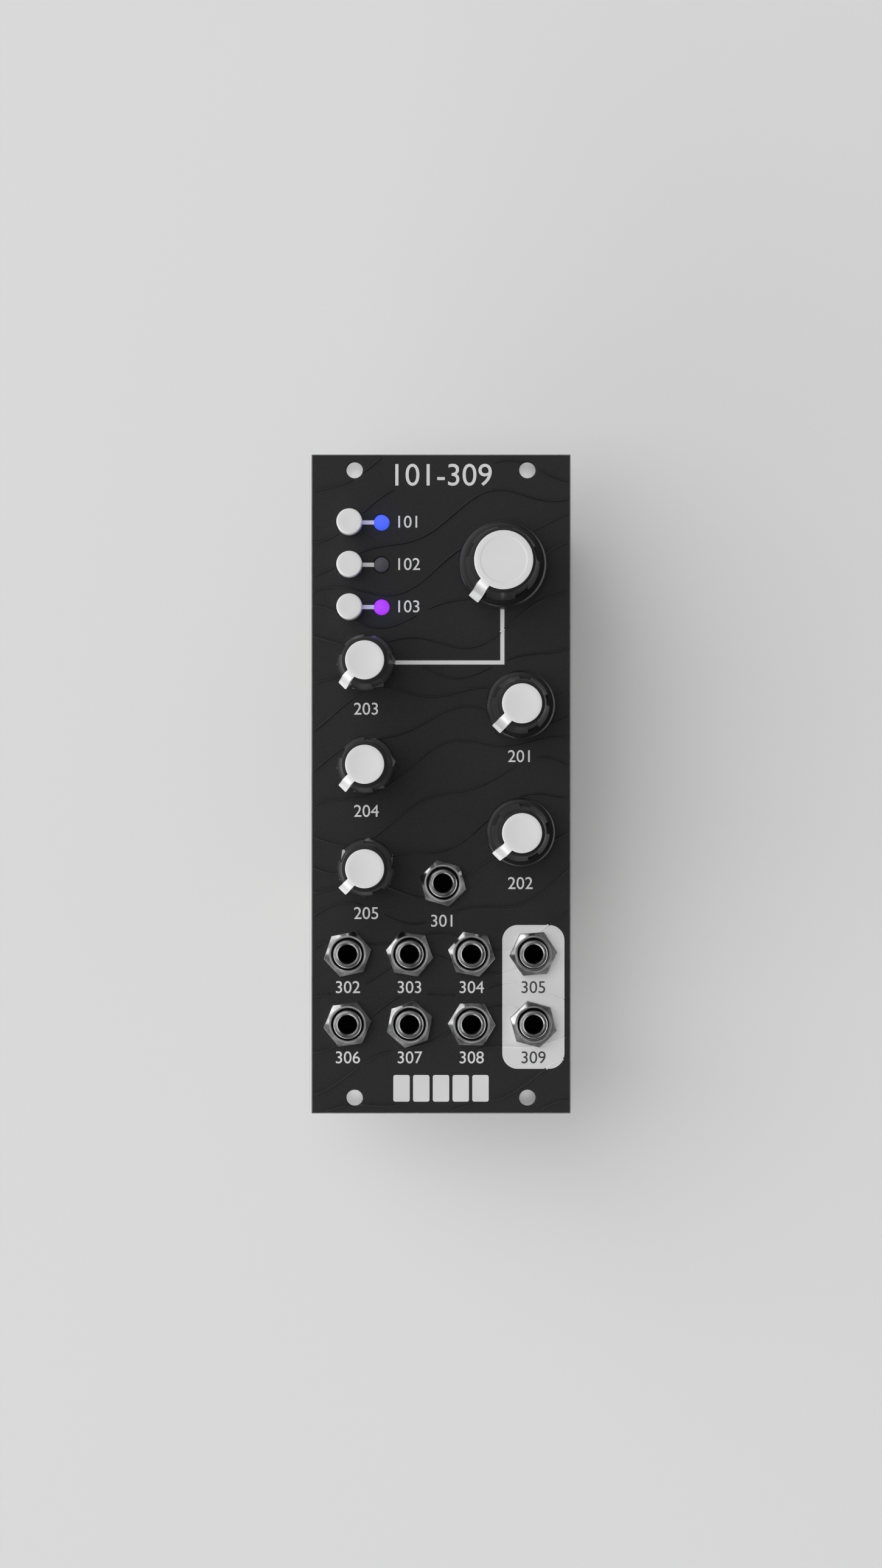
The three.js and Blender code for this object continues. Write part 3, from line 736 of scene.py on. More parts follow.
def make_waves():
    zones, boxes = keep_out_zones(), keep_out_boxes()
    dark, white = bmesh.new(), bmesh.new()
    count = int(LEVEL_REACH_SHARE * panel_high.y / RIDGE.spacing)
    for line in range(count):
        level = (line - (count - 1) / 2) * RIDGE.spacing
        for run in ridge_runs(level, zones, boxes):
            for on_white, part in split_by_color(run):
                if on_white:
                    add_ridge(white, part, PRINT_TOP - PRINT_THICKNESS / 2, RIDGE.white_height)
                else:
                    add_ridge(dark, part, PANEL_FRONT, RIDGE.height)
    add_piece(dark, "relief_waves", PANEL, "panel")
    add_piece(white, "relief_waves_on_field", WHITE_PRINT, "white_plastic")


# Knobs, in the same sizes as the solids

STYLES = {
    "large": in_mm(grip=7.2, top=6.2, cap=5.64, skirt=8.6, reach=9, pointer=2),
    "medium": in_mm(grip=5.65, top=4.4, cap=3.82, skirt=6.72, reach=6.8, pointer=1.9),
    "small": in_mm(grip=5.56, top=4.4, cap=3.73, skirt=0, reach=6.6, pointer=1.7),
}
POINTER_DEGREES = {"large": -129.5, "medium": -135, "small": -135}
GRIP_LOBES = 5
GRIP_PITCH = 360 / GRIP_LOBES
RECESS_DEGREES = 22
FLANK_DEGREES = 1.4
LOBE_DEGREES = GRIP_PITCH - RECESS_DEGREES - 2 * FLANK_DEGREES
GRIP_STRETCHES = [(RECESS_DEGREES, 8), (FLANK_DEGREES, 4), (LOBE_DEGREES, 20), (FLANK_DEGREES, 4)]
GRIP_RINGS = 4
GRIP = in_mm(recess=0.55, ring_edge=0.04, small_gap=2.8, flare=0.75)
HOLLOW = in_mm(socket=3.3, socket_end=11.8, nut_room=6.07, top=2.7)
SKIRT = in_mm(gap=0.6, height=3.5, fall=0.02, shoulder=4.2, shoulder_width=0.4)
SKIRT_ROUND_SHARE = 0.64
SKIRT_DEGREES = 80
SKIRT_STEPS = 10
RING_START_DEGREES = 15
CAP = in_mm(edge=0.2, foot_edge=0.05, dish=0.16, step=4.5, step_depth=0.045, step_width=0.12)
CAP_DISH_STEPS = 8
POINTER = in_mm(thickness=0.75, flare=0.3, edge=0.2, root=0.45, rise=0.02, sink=0.01, heel=0.15)
POINTER_SHOULDER = pairs_mm((0.66, 1.8), (0.42, 0.75), (0.1, 0.22), (-0.3, 0.02))
POINTER_EDGE_STEPS = 4


def style_of(knob):
    """The sizes of a knob, and the way that its pointer points."""
    kind = knob.split("_")[0]
    return STYLES[kind], math.radians(POINTER_DEGREES[kind])


def smooth_step(value):
    value = min(1, max(0, value))
    return value * value * (3 - 2 * value)


def grip_angles():
    """Angles round the grip, close together at the flanks between lobes and recesses."""
    angles = []
    for lobe in range(GRIP_LOBES):
        start = lobe * GRIP_PITCH - RECESS_DEGREES / 2
        for wide, count in GRIP_STRETCHES:
            angles += [math.radians(start + wide * k / count) for k in range(count)]
            start += wide
    return angles


def lobe_share(angle):
    """1 on a lobe and 0 in a recess."""
    away = abs((math.degrees(angle) + GRIP_PITCH / 2) % GRIP_PITCH - GRIP_PITCH / 2)
    return smooth_step((away - RECESS_DEGREES / 2) / FLANK_DEGREES)


def grip_radius(style, height, foot, top):
    share = (height - foot) / (top - foot)

    def radius(angle):
        foot_radius = style.grip - GRIP.recess * (1 - lobe_share(angle))
        return foot_radius + (style.top - foot_radius) * share

    return radius


def skirt_profile(style, foot):
    """From the hollow round the potentiometer's nut, under the rounded skirt and up to the grip."""
    size = SKIRT_ROUND_SHARE * (style.skirt - style.grip)
    profile = [(HOLLOW.socket, HOLLOW.top), (HOLLOW.nut_room, HOLLOW.top), (HOLLOW.nut_room, SKIRT.gap)]
    profile += arc(style.skirt - SOFT_EDGE, SKIRT.gap + SOFT_EDGE, SOFT_EDGE, -90, 0)
    profile += arc(style.skirt - size, foot - size - SKIRT.fall, size, 0, SKIRT_DEGREES, SKIRT_STEPS)
    return profile + [(style.grip + GRIP.ring_edge, foot)]


def make_knob_body(name):
    style, turn = style_of(name)
    axis = knob_axis(name)
    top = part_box(name + "_body")[1].z - axis.z
    foot = SKIRT.height if style.skirt else GRIP.small_gap
    profile = [(0, HOLLOW.socket_end), (HOLLOW.socket, HOLLOW.socket_end)]
    if style.skirt:
        profile += skirt_profile(style, foot)
        profile.append((grip_radius(style, foot, foot, top), foot))
    else:
        profile.append((HOLLOW.socket, foot))
        profile.append((grip_radius(style, foot - GRIP.flare, foot, top), foot))
    start, end = foot + FINE_EDGE, top - GRIP.ring_edge
    heights = [start + (end - start) * k / GRIP_RINGS for k in range(GRIP_RINGS + 1)]
    profile += [(grip_radius(style, height, foot, top), height) for height in heights]
    profile += arc(style.top - GRIP.ring_edge, end, GRIP.ring_edge, RING_START_DEGREES, 90)
    profile += [(style.cap, top), (0, top)]
    bm = add_turned(bmesh.new(), profile, axis, grip_angles(), turn=turn)
    add_piece(bm, name + "_grip", SOFT_BLACK, "soft_black", name, name + "_body", SHARP.grip)


def cap_profile(style, foot, top):
    """A disc with a rounded edge: the large one has a shallow inner step, the others a shallow dish."""
    radius = style.cap
    profile = [(0, foot), (radius - CAP.edge, foot), (radius, foot + CAP.foot_edge)]
    profile += arc(radius - CAP.edge, top - CAP.edge, CAP.edge, 0, 90)
    if radius > CAP.step:
        low = top - CAP.step_depth
        inner = CAP.step - CAP.step_width
        profile += [(CAP.step + CAP.step_width, top), (CAP.step, top)]
        return profile + [(inner, low), (inner - CAP.step_width, low), (CAP.step / 2, low), (0, low)]
    dish = radius - 2 * CAP.edge
    for k in range(1, CAP_DISH_STEPS + 1):
        share = 1 - k / CAP_DISH_STEPS
        profile.append((dish * share, top - CAP.dish * (1 - share * share)))
    return profile


def pointer_outline(style, foot, top):
    """The pointer's side view, as (radius, height) points from the disc out and down to the tip."""
    recess = style.grip - GRIP.recess + SURFACE_GAP
    bend = SKIRT.shoulder + SKIRT.shoulder_width + SURFACE_GAP
    tip = SKIRT.shoulder if style.skirt else GRIP.small_gap + POINTER.thickness
    inner = style.top + SURFACE_GAP
    start = style.cap - POINTER.root
    level = top - POINTER.sink
    return [
        (start, foot + POINTER.rise),
        (inner, foot + POINTER.rise),
        (recess, bend),
        (style.reach, tip - POINTER.thickness),
        (style.reach, tip),
        (recess + POINTER.thickness + POINTER.heel, bend + POINTER.thickness),
        *[(inner + across, level - down) for across, down in POINTER_SHOULDER],
        (start, level),
    ]


def add_pointer(bm, name, foot, top):
    """A tongue that widens outwards and bends down beside the grip."""
    style, turn = style_of(name)
    along = Vector((math.cos(turn), math.sin(turn), 0))
    across = Vector((-along.y, along.x, 0))
    rows = []
    for side in SIDES:
        row = []
        for radius, height in pointer_outline(style, foot, top):
            wide = (style.pointer + POINTER.flare * radius / style.reach) / 2
            row.append(knob_axis(name) + along * radius + across * side * wide + Vector((0, 0, height)))
        rows.append(row)
    round_edges(bm, add_loft(bm, rows), POINTER.edge, POINTER_EDGE_STEPS)
    return bm


def make_knob_cap(name):
    axis = knob_axis(name)
    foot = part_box(name + "_body")[1].z - axis.z
    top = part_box(name + "_cap")[1].z - axis.z
    disc = add_turned(bmesh.new(), cap_profile(style_of(name)[0], foot, top), axis, STEPS.disc)
    pointer = add_pointer(bmesh.new(), name, foot, top)
    add_piece(disc, name + "_disc", WHITE_PLASTIC, "white_plastic", name, name + "_cap")
    # The pointer's lighter white is painted light for its steep face.
    add_piece(pointer, name + "_pointer", POINTER_PLASTIC_PAINTED_LIGHT, "white_plastic", name, name + "_cap")


# Hexagon nuts and threads

THREAD = in_mm(pitch=0.5, depth=0.2)
CROWN_ROUND_SHARE = 0.3
CROWN_TILT = 0.97


def hex_radius(flats):
    """Distance from the axis to the side of a hexagon, as a function of the angle."""
    def radius(angle):
        away = (angle + math.pi / 6) % (math.pi / 3) - math.pi / 6
        return flats / 2 / math.cos(math.pi / 6 - abs(away))

    return radius


def make_nut(name, centre, nut, height, degrees, material, **more):
    """A nut whose top is turned to a cone, so that its corners are lower than its face."""
    side = hex_radius(nut.flats)
    slope = nut.chamfer / (nut.flats / math.sqrt(3) - nut.face)

    def cone(angle):
        return height - slope * (side(angle) - nut.face)

    def inner(angle):
        return side(angle) - FINE_EDGE

    edge = 2 * FINE_EDGE
    profile = [
        (nut.bore, 0), (nut.bore, height - edge), (nut.bore + edge, height), (nut.face, height),
        (inner, lambda a: cone(a) + CROWN_ROUND_SHARE * FINE_EDGE), (side, lambda a: cone(a) - FINE_EDGE),
        (side, FINE_EDGE), (inner, 0),
    ]
    bm = add_turned(bmesh.new(), profile, centre, STEPS.nut, True, math.radians(degrees))
    return add_piece(bm, name, material, "nickel", sharp=SHARP.nut, **more)


def is_crown(face):
    return FINE_TILT < face.normal.z < CROWN_TILT


def thread_profile(radius, low, high):
    """Rings of a thread as (radius, height) points, from low to high."""
    points = []
    for turn in range(int((high - low) / THREAD.pitch)):
        height = low + turn * THREAD.pitch
        points += [(radius - THREAD.depth, height), (radius, height + THREAD.pitch / 2)]
    return points


# Jack sockets

JACK_NUT = in_mm(flats=8.15, bore=3.15, face=3.6, chamfer=0.6)
JACK_NUT_DEGREES = [44.5, 11.7, 50.5, 49.5, 4.5, 7.7, 19, 58.7, 45]
JACK_FLOOR = 0.6 * MM
JACK_CORNER_STEPS = 3
SLEEVE = in_mm(radius=2.8, thread=2.98, thread_foot=0.01, thread_top=-0.9, lip=0.45)
SLEEVE_FOOT = pairs_mm((1.85, -12.5), (2.8, -12.5))
SLEEVE_NECK = pairs_mm((2.8, -0.75))
SLEEVE_MOUTH = pairs_mm((2.15, 0), (1.9, -0.25), (1.85, -0.8))
LIP_DEGREES = 80
LIP_STEPS = 7
LINING = pairs_mm((0, -12.5), (1.83, -12.5), (1.83, -3.2), (1.55, -3.2), (1.55, -11.9), (0, -11.9))


def make_jack_housing(name):
    low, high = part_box(name)
    floor = low.z + JACK_FLOOR
    outline = rounded_rectangle(low, high, SOFT_EDGE, JACK_CORNER_STEPS)
    housing = sheet_shape([outline, circle(on_panel(name), SLEEVE.radius)], floor, PANEL_BACK, FINE_EDGE)
    add_box(housing, low, (high.x, high.y, floor), FINE_EDGE)
    add_piece(housing, name + "_housing", BLACK_PLASTIC, "jack_plastic", replaced=name)


def make_sleeve(name):
    """The threaded sleeve of a socket, with a rounded lip, and a lining inside it: partly the socket's dark
    plastic, and partly painted shade, darker than that plastic and without shine, for the depth of the
    bore.
    """
    top = top_of(name)
    lip = SLEEVE.lip
    thread = thread_profile(SLEEVE.thread, PANEL_BACK + SLEEVE.thread_foot - top.z, SLEEVE.thread_top)
    rim = arc(SLEEVE.radius - lip, -lip, lip, 0, LIP_DEGREES, LIP_STEPS)
    profile = [*SLEEVE_FOOT, *thread, *SLEEVE_NECK, *rim, *SLEEVE_MOUTH]
    add_turned_piece(name + "_sleeve", profile, top, NICKEL, "nickel", closed=True, replaced=name)
    # The lining is partly dark plastic and partly painted shade for the deep bore.
    add_turned_piece(name + "_lining", LINING, top, BORE_LINING_PAINTED_SHADE, "jack_plastic", STEPS.small)


def make_jack(name, degrees):
    make_jack_housing(name)
    make_sleeve(name)
    height = top_of(name + "_nut").z - PANEL_FRONT
    nut = make_nut(name + "_hex_nut", on_panel(name), JACK_NUT, height, degrees, NUT_FACE,
                   replaced=name + "_nut")
    add_second_finish(nut, NUT_CROWN, is_crown)


# Potentiometers

POT = in_mm(half_x=4.75, half_y=5.5, height=6.8, cover=1.9)
POT_TAB = in_mm(thickness=0.25, width=3.2, foot=1, drop=1.2)
POT_NUT = in_mm(flats=10, bore=3.47, face=4.9, chamfer=0.35, height=2)
POT_NUT_DEGREES = [30, 30, 30, 4, 6.6, 25]
BUSH = in_mm(radius=3.45, bore=3.15, sink=0.2, thread_foot=0.5, thread_top=-0.4)
BUSH_MOUTH = pairs_mm((3.3, 0), (3.15, 0))


def make_pot_case(name, can_top):
    """The base of a potentiometer, and its steel cover with a tab down either side."""
    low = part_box(name + "_potentiometer")[0]
    axis = knob_axis(name)
    x0, y0, x1, y1 = box_round(axis.x, axis.y, POT.half_x, POT.half_y)
    parting = can_top - POT.cover
    base = add_box(bmesh.new(), (x0, y0, low.z), (x1, y1, parting), FINE_EDGE)
    add_piece(base, name + "_pot_base", BLACK_PLASTIC, "black_plastic", replaced=name + "_potentiometer")
    cover = add_box(bmesh.new(), (x0, y0, parting), (x1, y1, can_top), SOFT_EDGE)
    foot, top = low.z + POT_TAB.foot, can_top - POT_TAB.drop
    for side in SIDES:
        x = axis.x + side * (POT.half_x - POT_TAB.thickness / 2)
        add_slab(cover, (x, axis.y, (foot + top) / 2), (POT_TAB.thickness, POT_TAB.width, top - foot))
    add_piece(cover, name + "_pot_cover", STEEL, "steel")


def make_potentiometer(name, degrees):
    top = top_of(name + "_potentiometer")
    can_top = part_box(name + "_potentiometer")[0].z + POT.height
    make_pot_case(name, can_top)
    foot = can_top - BUSH.sink - top.z
    thread = thread_profile(BUSH.radius, foot + BUSH.thread_foot, BUSH.thread_top)
    profile = [(BUSH.bore, foot), (BUSH.radius, foot), *thread, *BUSH_MOUTH]
    add_turned_piece(name + "_bush", profile, top, NICKEL, "nickel", STEPS.bush, True)
    # This nut is painted darker for the shade under the knob.
    make_nut(name + "_bush_nut", knob_axis(name), POT_NUT, POT_NUT.height, degrees, BUSH_NUT_PAINTED_SHADE)


# Buttons and lamps

BUTTON = in_mm(stem=1.6, collar=-3.4, edge=0.32, dip=0.03, middle_dip=0.06)
BUTTON_EDGE_STEPS = 6
BUTTON_DIP_SHARE = 0.55
SWITCH = in_mm(cover=0.35, corner=0.5, hole=1.9, leg_edge=0.05)
COLLAR = pairs_mm((1.7, -0.3), (1.88, -0.3), (1.88, -0.02), (1.7, -0.02))
SWITCH_LEG = mm(0.3, 0.7, 1.8)
SWITCH_LEG_PLACES = pairs_mm((-3.15, -2.25), (3.15, -2.25), (3.15, 2.25), (-3.15, 2.25))
LENS = in_mm(radius=1.5, dome=0.8)
LENS_RIM = pairs_mm((0, -5.4), (1.9, -5.4), (1.9, -4.4), (1.5, -4.4))
LENS_STEPS = 8
LEAD = in_mm(reach=1.27, width=0.5, edge=0.04, drop=5.2)


def make_button(name):
    low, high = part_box(name + "_cap")
    radius = (high.x - low.x) / 2
    foot, top = low.z - PANEL_FRONT, high.z - PANEL_FRONT
    profile = [(0, foot), (BUTTON.stem, foot), (BUTTON.stem, BUTTON.collar), (radius, BUTTON.collar)]
    profile += arc(radius - BUTTON.edge, top - BUTTON.edge, BUTTON.edge, 0, 90, BUTTON_EDGE_STEPS)
    profile += [(radius * BUTTON_DIP_SHARE, top - BUTTON.dip), (0, top - BUTTON.middle_dip)]
    add_turned_piece(name + "_button", profile, on_panel(name + "_cap"), WHITE_PLASTIC, "white_plastic",
                     body=name, replaced=name + "_cap")


def make_switch(name):
    low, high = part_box(name + "_switch")
    top = top_of(name + "_switch")
    body = add_box(bmesh.new(), low, (high.x, high.y, high.z - SWITCH.cover), FINE_EDGE)
    add_piece(body, name + "_housing", BLACK_PLASTIC, "black_plastic", replaced=name + "_switch")
    outline = rounded_rectangle(low, high, SWITCH.corner)
    plate = sheet_shape([outline, circle(top, SWITCH.hole)], high.z - SWITCH.cover, high.z, FINE_EDGE)
    add_piece(plate, name + "_cover_plate", STEEL, "steel")
    add_turned_piece(name + "_collar", COLLAR, top, BLACK_PLASTIC, "black_plastic", STEPS.small, True)
    legs = bmesh.new()
    for x, y in SWITCH_LEG_PLACES:
        middle = (top.x + x, top.y + y, low.z + SWITCH_LEG.z / 2)
        add_slab(legs, middle, SWITCH_LEG, SWITCH.leg_edge)
    add_piece(legs, name + "_legs", TIN, "steel")


def make_lamp(name, material, slot):
    """A domed lens with a rim, on two leads."""
    top = top_of(name)
    dome = [(LENS.radius * x, LENS.dome * (y - 1)) for x, y in arc(0, 0, 1, 0, 90, LENS_STEPS)[:-1]]
    profile = [*LENS_RIM, *dome, (0, 0)]
    add_turned_piece(name + "_lens", profile, top, material, slot, STEPS.bush, replaced=name)
    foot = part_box(name)[0].z
    leads = bmesh.new()
    for side in SIDES:
        add_post(leads, top.x + side * LEAD.reach, top.y, foot, top.z - LEAD.drop, LEAD.width, LEAD.edge)
    add_piece(leads, name + "_leads", TIN, "steel")


# Boards, spacers and connectors

BOARD_CORNER = 1 * MM
BOARD_CORNER_STEPS = 6
BOARD_HOLE = 1.75 * MM
SPACER = in_mm(radius=2.75, stem=1.6, root=0.3, barb=2.3, barb_height=0.5, tip=1.5, tip_height=3, slot=0.4)
SPACER_TIP_STEPS = 16
PIN = in_mm(pitch=2.54, width=0.64, edge=0.08, foot=2.5, drop=0.1, base_edge=0.3, room=0.5)
PIN_COLUMNS = 8
SHROUD = in_mm(wall=1, floor=1.9, notch=2.25, pin_foot=8, pin_top=1.6, pin_edge=0.1)
SHROUD_COLUMNS = 5


def add_split_tip(bm, axis, face, half, outline):
    """Half of a barbed tip: round outside, and flat where the slot parts it from the other half."""
    rows = []
    for depth, radius in outline:
        reach = math.degrees(math.acos(SPACER.slot / radius))
        points = arc(0, 0, radius, -reach, reach, SPACER_TIP_STEPS)
        rows.append([(axis.x + half * x, axis.y + y, face - depth) for x, y in points])
    add_loft(bm, rows)


def make_spacer(name):
    """A six-sided pillar between the boards, with a split tip below and a round peg above."""
    axis = middle_of(name)
    start, end = MAIN_BOARD[1].z, CONTROL_BOARD[0].z
    thick = CONTROL_BOARD[1].z - end
    side = hex_radius(2 * SPACER.radius * math.cos(math.pi / 6))

    def inner(angle):
        return side(angle) - FINE_EDGE

    top = end - start
    profile = [(0, 0), (inner, 0), (side, FINE_EDGE), (side, top - FINE_EDGE), (inner, top), (0, top)]
    foot = Vector((axis.x, axis.y, start))
    add_turned_piece(name + "_pillar", profile, foot, NYLON, "nylon", STEPS.hole, replaced=name)
    stem, root, barb = SPACER.stem, -SPACER.root, SPACER.barb
    outline = [(root, stem), (thick, stem), (thick, barb), (thick + SPACER.barb_height, barb),
               (thick + SPACER.tip_height, SPACER.tip)]
    peg = [(0, root), (stem, root), (stem, thick - FINE_EDGE), (stem - FINE_EDGE, thick), (0, thick)]
    tips = add_turned(bmesh.new(), peg, Vector((axis.x, axis.y, end)), STEPS.small)
    for half in SIDES:
        add_split_tip(tips, axis, start, half, outline)
    add_piece(tips, name + "_tips", NYLON, "nylon", replaced=name)


def make_board(name):
    low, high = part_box(name)
    outline = rounded_rectangle(low, high, BOARD_CORNER, BOARD_CORNER_STEPS)
    holes = [circle(middle_of(spacer), BOARD_HOLE, STEPS.board_hole) for spacer in SPACERS]
    bm = sheet_shape([outline] + holes, low.z, high.z, FINE_EDGE)
    add_piece(bm, name + "_plate", BOARD, "circuit_board", replaced=name, sharp=SHARP.sheet)


def pin_spots(middle, columns):
    """The places of two rows of pins."""
    return [(middle.x + (column - (columns - 1) / 2) * PIN.pitch, middle.y + row * PIN.pitch / 2)
            for row in SIDES for column in range(columns)]


def make_connectors():
    """The pin header between the boards and the socket that its pins go into."""
    head_low, head_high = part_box("board_header")
    low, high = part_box("board_socket")
    base, pins = bmesh.new(), bmesh.new()
    loops = [rectangle(low.x, low.y, high.x, high.y)]
    for x, y in pin_spots((low + high) / 2, PIN_COLUMNS):
        add_post(base, x, y, head_low.z, low.z, PIN.pitch, PIN.base_edge)
        add_post(pins, x, y, head_low.z - PIN.foot, head_high.z - PIN.drop, PIN.width, PIN.edge)
        loops.append(rectangle(*box_round(x, y, PIN.room, PIN.room)))
    add_piece(base, "board_header_base", BLACK_PLASTIC, "black_plastic", replaced="board_header")
    add_piece(pins, "board_header_pins", GOLD, "nickel", replaced="board_header")
    socket = sheet_shape(loops, low.z, high.z, FINE_EDGE)
    add_piece(socket, "board_socket_body", BLACK_PLASTIC, "black_plastic", replaced="board_socket")


def mirrored(points):
    return [(-x, y) for x, y in reversed(points)]


def make_power_header():
    """A shroud with a keying notch in one long wall, round two rows of pins."""
    low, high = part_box("power_header")
    middle = (low + high) / 2
    floor, wall, wide = high.z - SHROUD.floor, SHROUD.wall, high.x - middle.x
    outside = [(SHROUD.notch, low.y), (wide, low.y), (wide, high.y)]
    inside = [(wide - wall, high.y - wall), (wide - wall, low.y + wall), (SHROUD.notch, low.y + wall)]
    outline = outside + mirrored(outside) + mirrored(inside) + inside
    shroud = sheet_shape([[(middle.x + x, y) for x, y in outline]], low.z, floor, FINE_EDGE)
    add_box(shroud, (low.x, low.y, floor), high, FINE_EDGE)
    add_piece(shroud, "power_header_shroud", BLACK_PLASTIC, "black_plastic", replaced="power_header")
    pins = bmesh.new()
    for x, y in pin_spots(middle, SHROUD_COLUMNS):
        add_post(pins, x, y, high.z - SHROUD.pin_foot, high.z - SHROUD.pin_top, PIN.width, SHROUD.pin_edge)
    add_piece(pins, "power_header_pins", GOLD, "nickel")


# Solder points and capacitor cans under the control board

JACK_LEADS = pairs_mm((0, 4.4), (0, -3.1), (0, -4.6))
POT_LEADS = pairs_mm((-2.5, -4.6), (0, -4.6), (2.5, -4.6), (-4.2, 2.2), (4.2, 2.2))
LAMP_LEADS = [(side * LEAD.reach, 0) for side in SIDES]
SOLDER_PROFILE = pairs_mm(
    (0, 0.02), (0.95, 0.02), (0.9, -0.06), (0.5, -0.45), (0.35, -0.9), (0.3, -1.2), (0, -1.25))
CAN_PROFILE = pairs_mm(
    (0, -0.9), (3, -0.9), (3, -1.6), (2.85, -1.9), (3, -2.2), (3, -5.1), (2.7, -5.5), (0, -5.5))
CAN_PLACES = pairs_mm((-18, -44), (18, -44), (-19, 40), (-11, 40), (11, 46), (19, 46))
CAN_BASE = in_mm(width=6.6, height=1, edge=0.3)


def make_solder():
    """Solder where the leads of the sockets, potentiometers and lamps come through."""
    bm = bmesh.new()
    for nodes, leads in ((JACKS, JACK_LEADS), (POTENTIOMETERS, POT_LEADS), (LAMPS, LAMP_LEADS)):
        for node in nodes:
            middle = on_panel(node)
            for x, y in leads:
                spot = Vector((middle.x + x, middle.y + y, CONTROL_BOARD[0].z))
                add_turned(bm, SOLDER_PROFILE, spot, STEPS.tiny)
    add_piece(bm, "control_board_solder", TIN, "steel")


def make_cans():
    """Electrolytic capacitors that hang from the control board into the space between the boards."""
    face = CONTROL_BOARD[0].z
    cans, bases = bmesh.new(), bmesh.new()
    for x, y in CAN_PLACES:
        add_post(bases, x, y, face - CAN_BASE.height, face, CAN_BASE.width, CAN_BASE.edge)
        add_turned(cans, CAN_PROFILE, Vector((x, y, face)), STEPS.small)
    add_piece(cans, "capacitor_cans", SHAFT_METAL, "shaft_metal")
    add_piece(bases, "capacitor_bases", BLACK_PLASTIC, "black_plastic")


# Parts on the back of the main board

SMALL_CHIP = mm(8.7, 3.9, 1.5)
# Each chip by its place, its size, the pins along its width and its length, and their pitch
CHIPS = [
    (mm(-3, 24), mm(14, 14, 1.4), (22, 22), 0.6 * MM),
    (mm(13, 33), mm(7, 7, 1), (11, 11), 0.5 * MM),
    (mm(-15, 36), mm(5.3, 5.3, 1.6), (4, 0), 1.27 * MM),
    (mm(14, 12), mm(6.5, 3.5, 1.6), (3, 0), 2.3 * MM),
    (mm(-17, 10), mm(4.4, 6.5, 1.1), (0, 10), 0.62 * MM),
]
CHIPS += [(mm(x, y), SMALL_CHIP, (7, 0), 1.27 * MM) for x in (-15.5, -5.2, 5.2, 15.5) for y in (-4, -14)]
CHIP = in_mm(gap=0.1, edge=0.1, leg_reach=0.4, leg_length=0.9, leg_height=0.22, leg_gap=0.02, room=1.2)
LEG_WIDTH_SHARE = 0.4
TANTALUM_PLACES = [mm(12, 20), mm(19, 20), mm(-19, 22), mm(-19, 27)]
TANTALUM_SIZE = mm(3.4, 5.8, 2.3)
TANTALUM_EDGE = 0.2 * MM
TANTALUM_ROOM = mm(2.5, 3.6)
CRYSTAL_PLACE = mm(-13.25, 27.5)
CRYSTAL_SIZE = mm(2.5, 5, 1.1)
CRYSTAL_EDGE = 0.15 * MM
CRYSTAL_ROOM = mm(2, 3.2)
SPACER_ROOM = mm(4, 4)
GRID = in_mm(column=1.3, row=2.1, margin=2, gap_x=0.59, gap_y=1.01)
GRID_TRIES = 260
rng = random.Random(11)
SMALL_SIZE = mm(0.8, 1, 0.475)
SMALL_ROOM = mm(0.45, 0.9)
SMALL_END = mm(0.86, 0.34, 0.43)
SMALL = in_mm(gap=0.025, edge=0.04, end_reach=0.62, end_gap=0.01)
DARK_SHARE = 0.5


def add_part(bm, x, y, size, gap, edge=0.0):
    """A block on the back of the main board, by its place, its size and the gap over it."""
    width, length, height = size
    middle = (x, y, MAIN_BOARD[0].z - (gap + height) / 2)
    add_slab(bm, middle, (width, length, height - gap), edge)


def add_chip(body, legs, place, size, counts, pitch):
    add_part(body, *place, size, CHIP.gap, CHIP.edge)
    leg = Vector((LEG_WIDTH_SHARE * pitch, CHIP.leg_length, CHIP.leg_height))
    for along, (count, leg_size) in enumerate(zip(counts, (leg, leg.yxz))):
        across = 1 - along
        for k in range(count):
            for side in SIDES:
                spot = place.copy()
                spot[along] += (k - (count - 1) / 2) * pitch
                spot[across] += side * (size[across] / 2 + CHIP.leg_reach)
                add_part(legs, *spot, leg_size, CHIP.leg_gap)


def taken_places():
    """The middle and the half size of the areas that the small parts keep clear of."""
    border = Vector((CHIP.room, CHIP.room))
    taken = [(place, size.xy / 2 + border) for place, size, _, _ in CHIPS]
    taken += [(place, TANTALUM_ROOM) for place in TANTALUM_PLACES]
    taken.append((CRYSTAL_PLACE, CRYSTAL_ROOM))
    return taken + [(middle_of(name), SPACER_ROOM) for name in SPACERS]


def scatter_places():
    """Free places on a grid, each with whether its part is dark."""
    low, high = MAIN_BOARD
    taken, places = taken_places(), []
    for _ in range(GRID_TRIES):
        x = rng.uniform(low.x + GRID.margin, high.x - GRID.margin)
        y = rng.uniform(low.y + GRID.margin, high.y - GRID.margin)
        x, y = round(x / GRID.column) * GRID.column, round(y / GRID.row) * GRID.row
        if any(abs(x - spot.x) < room.x + GRID.gap_x and abs(y - spot.y) < room.y + GRID.gap_y
               for spot, room in taken):
            continue
        taken.append((Vector((x, y)), SMALL_ROOM))
        places.append((x, y, rng.random() < DARK_SHARE))
    return places


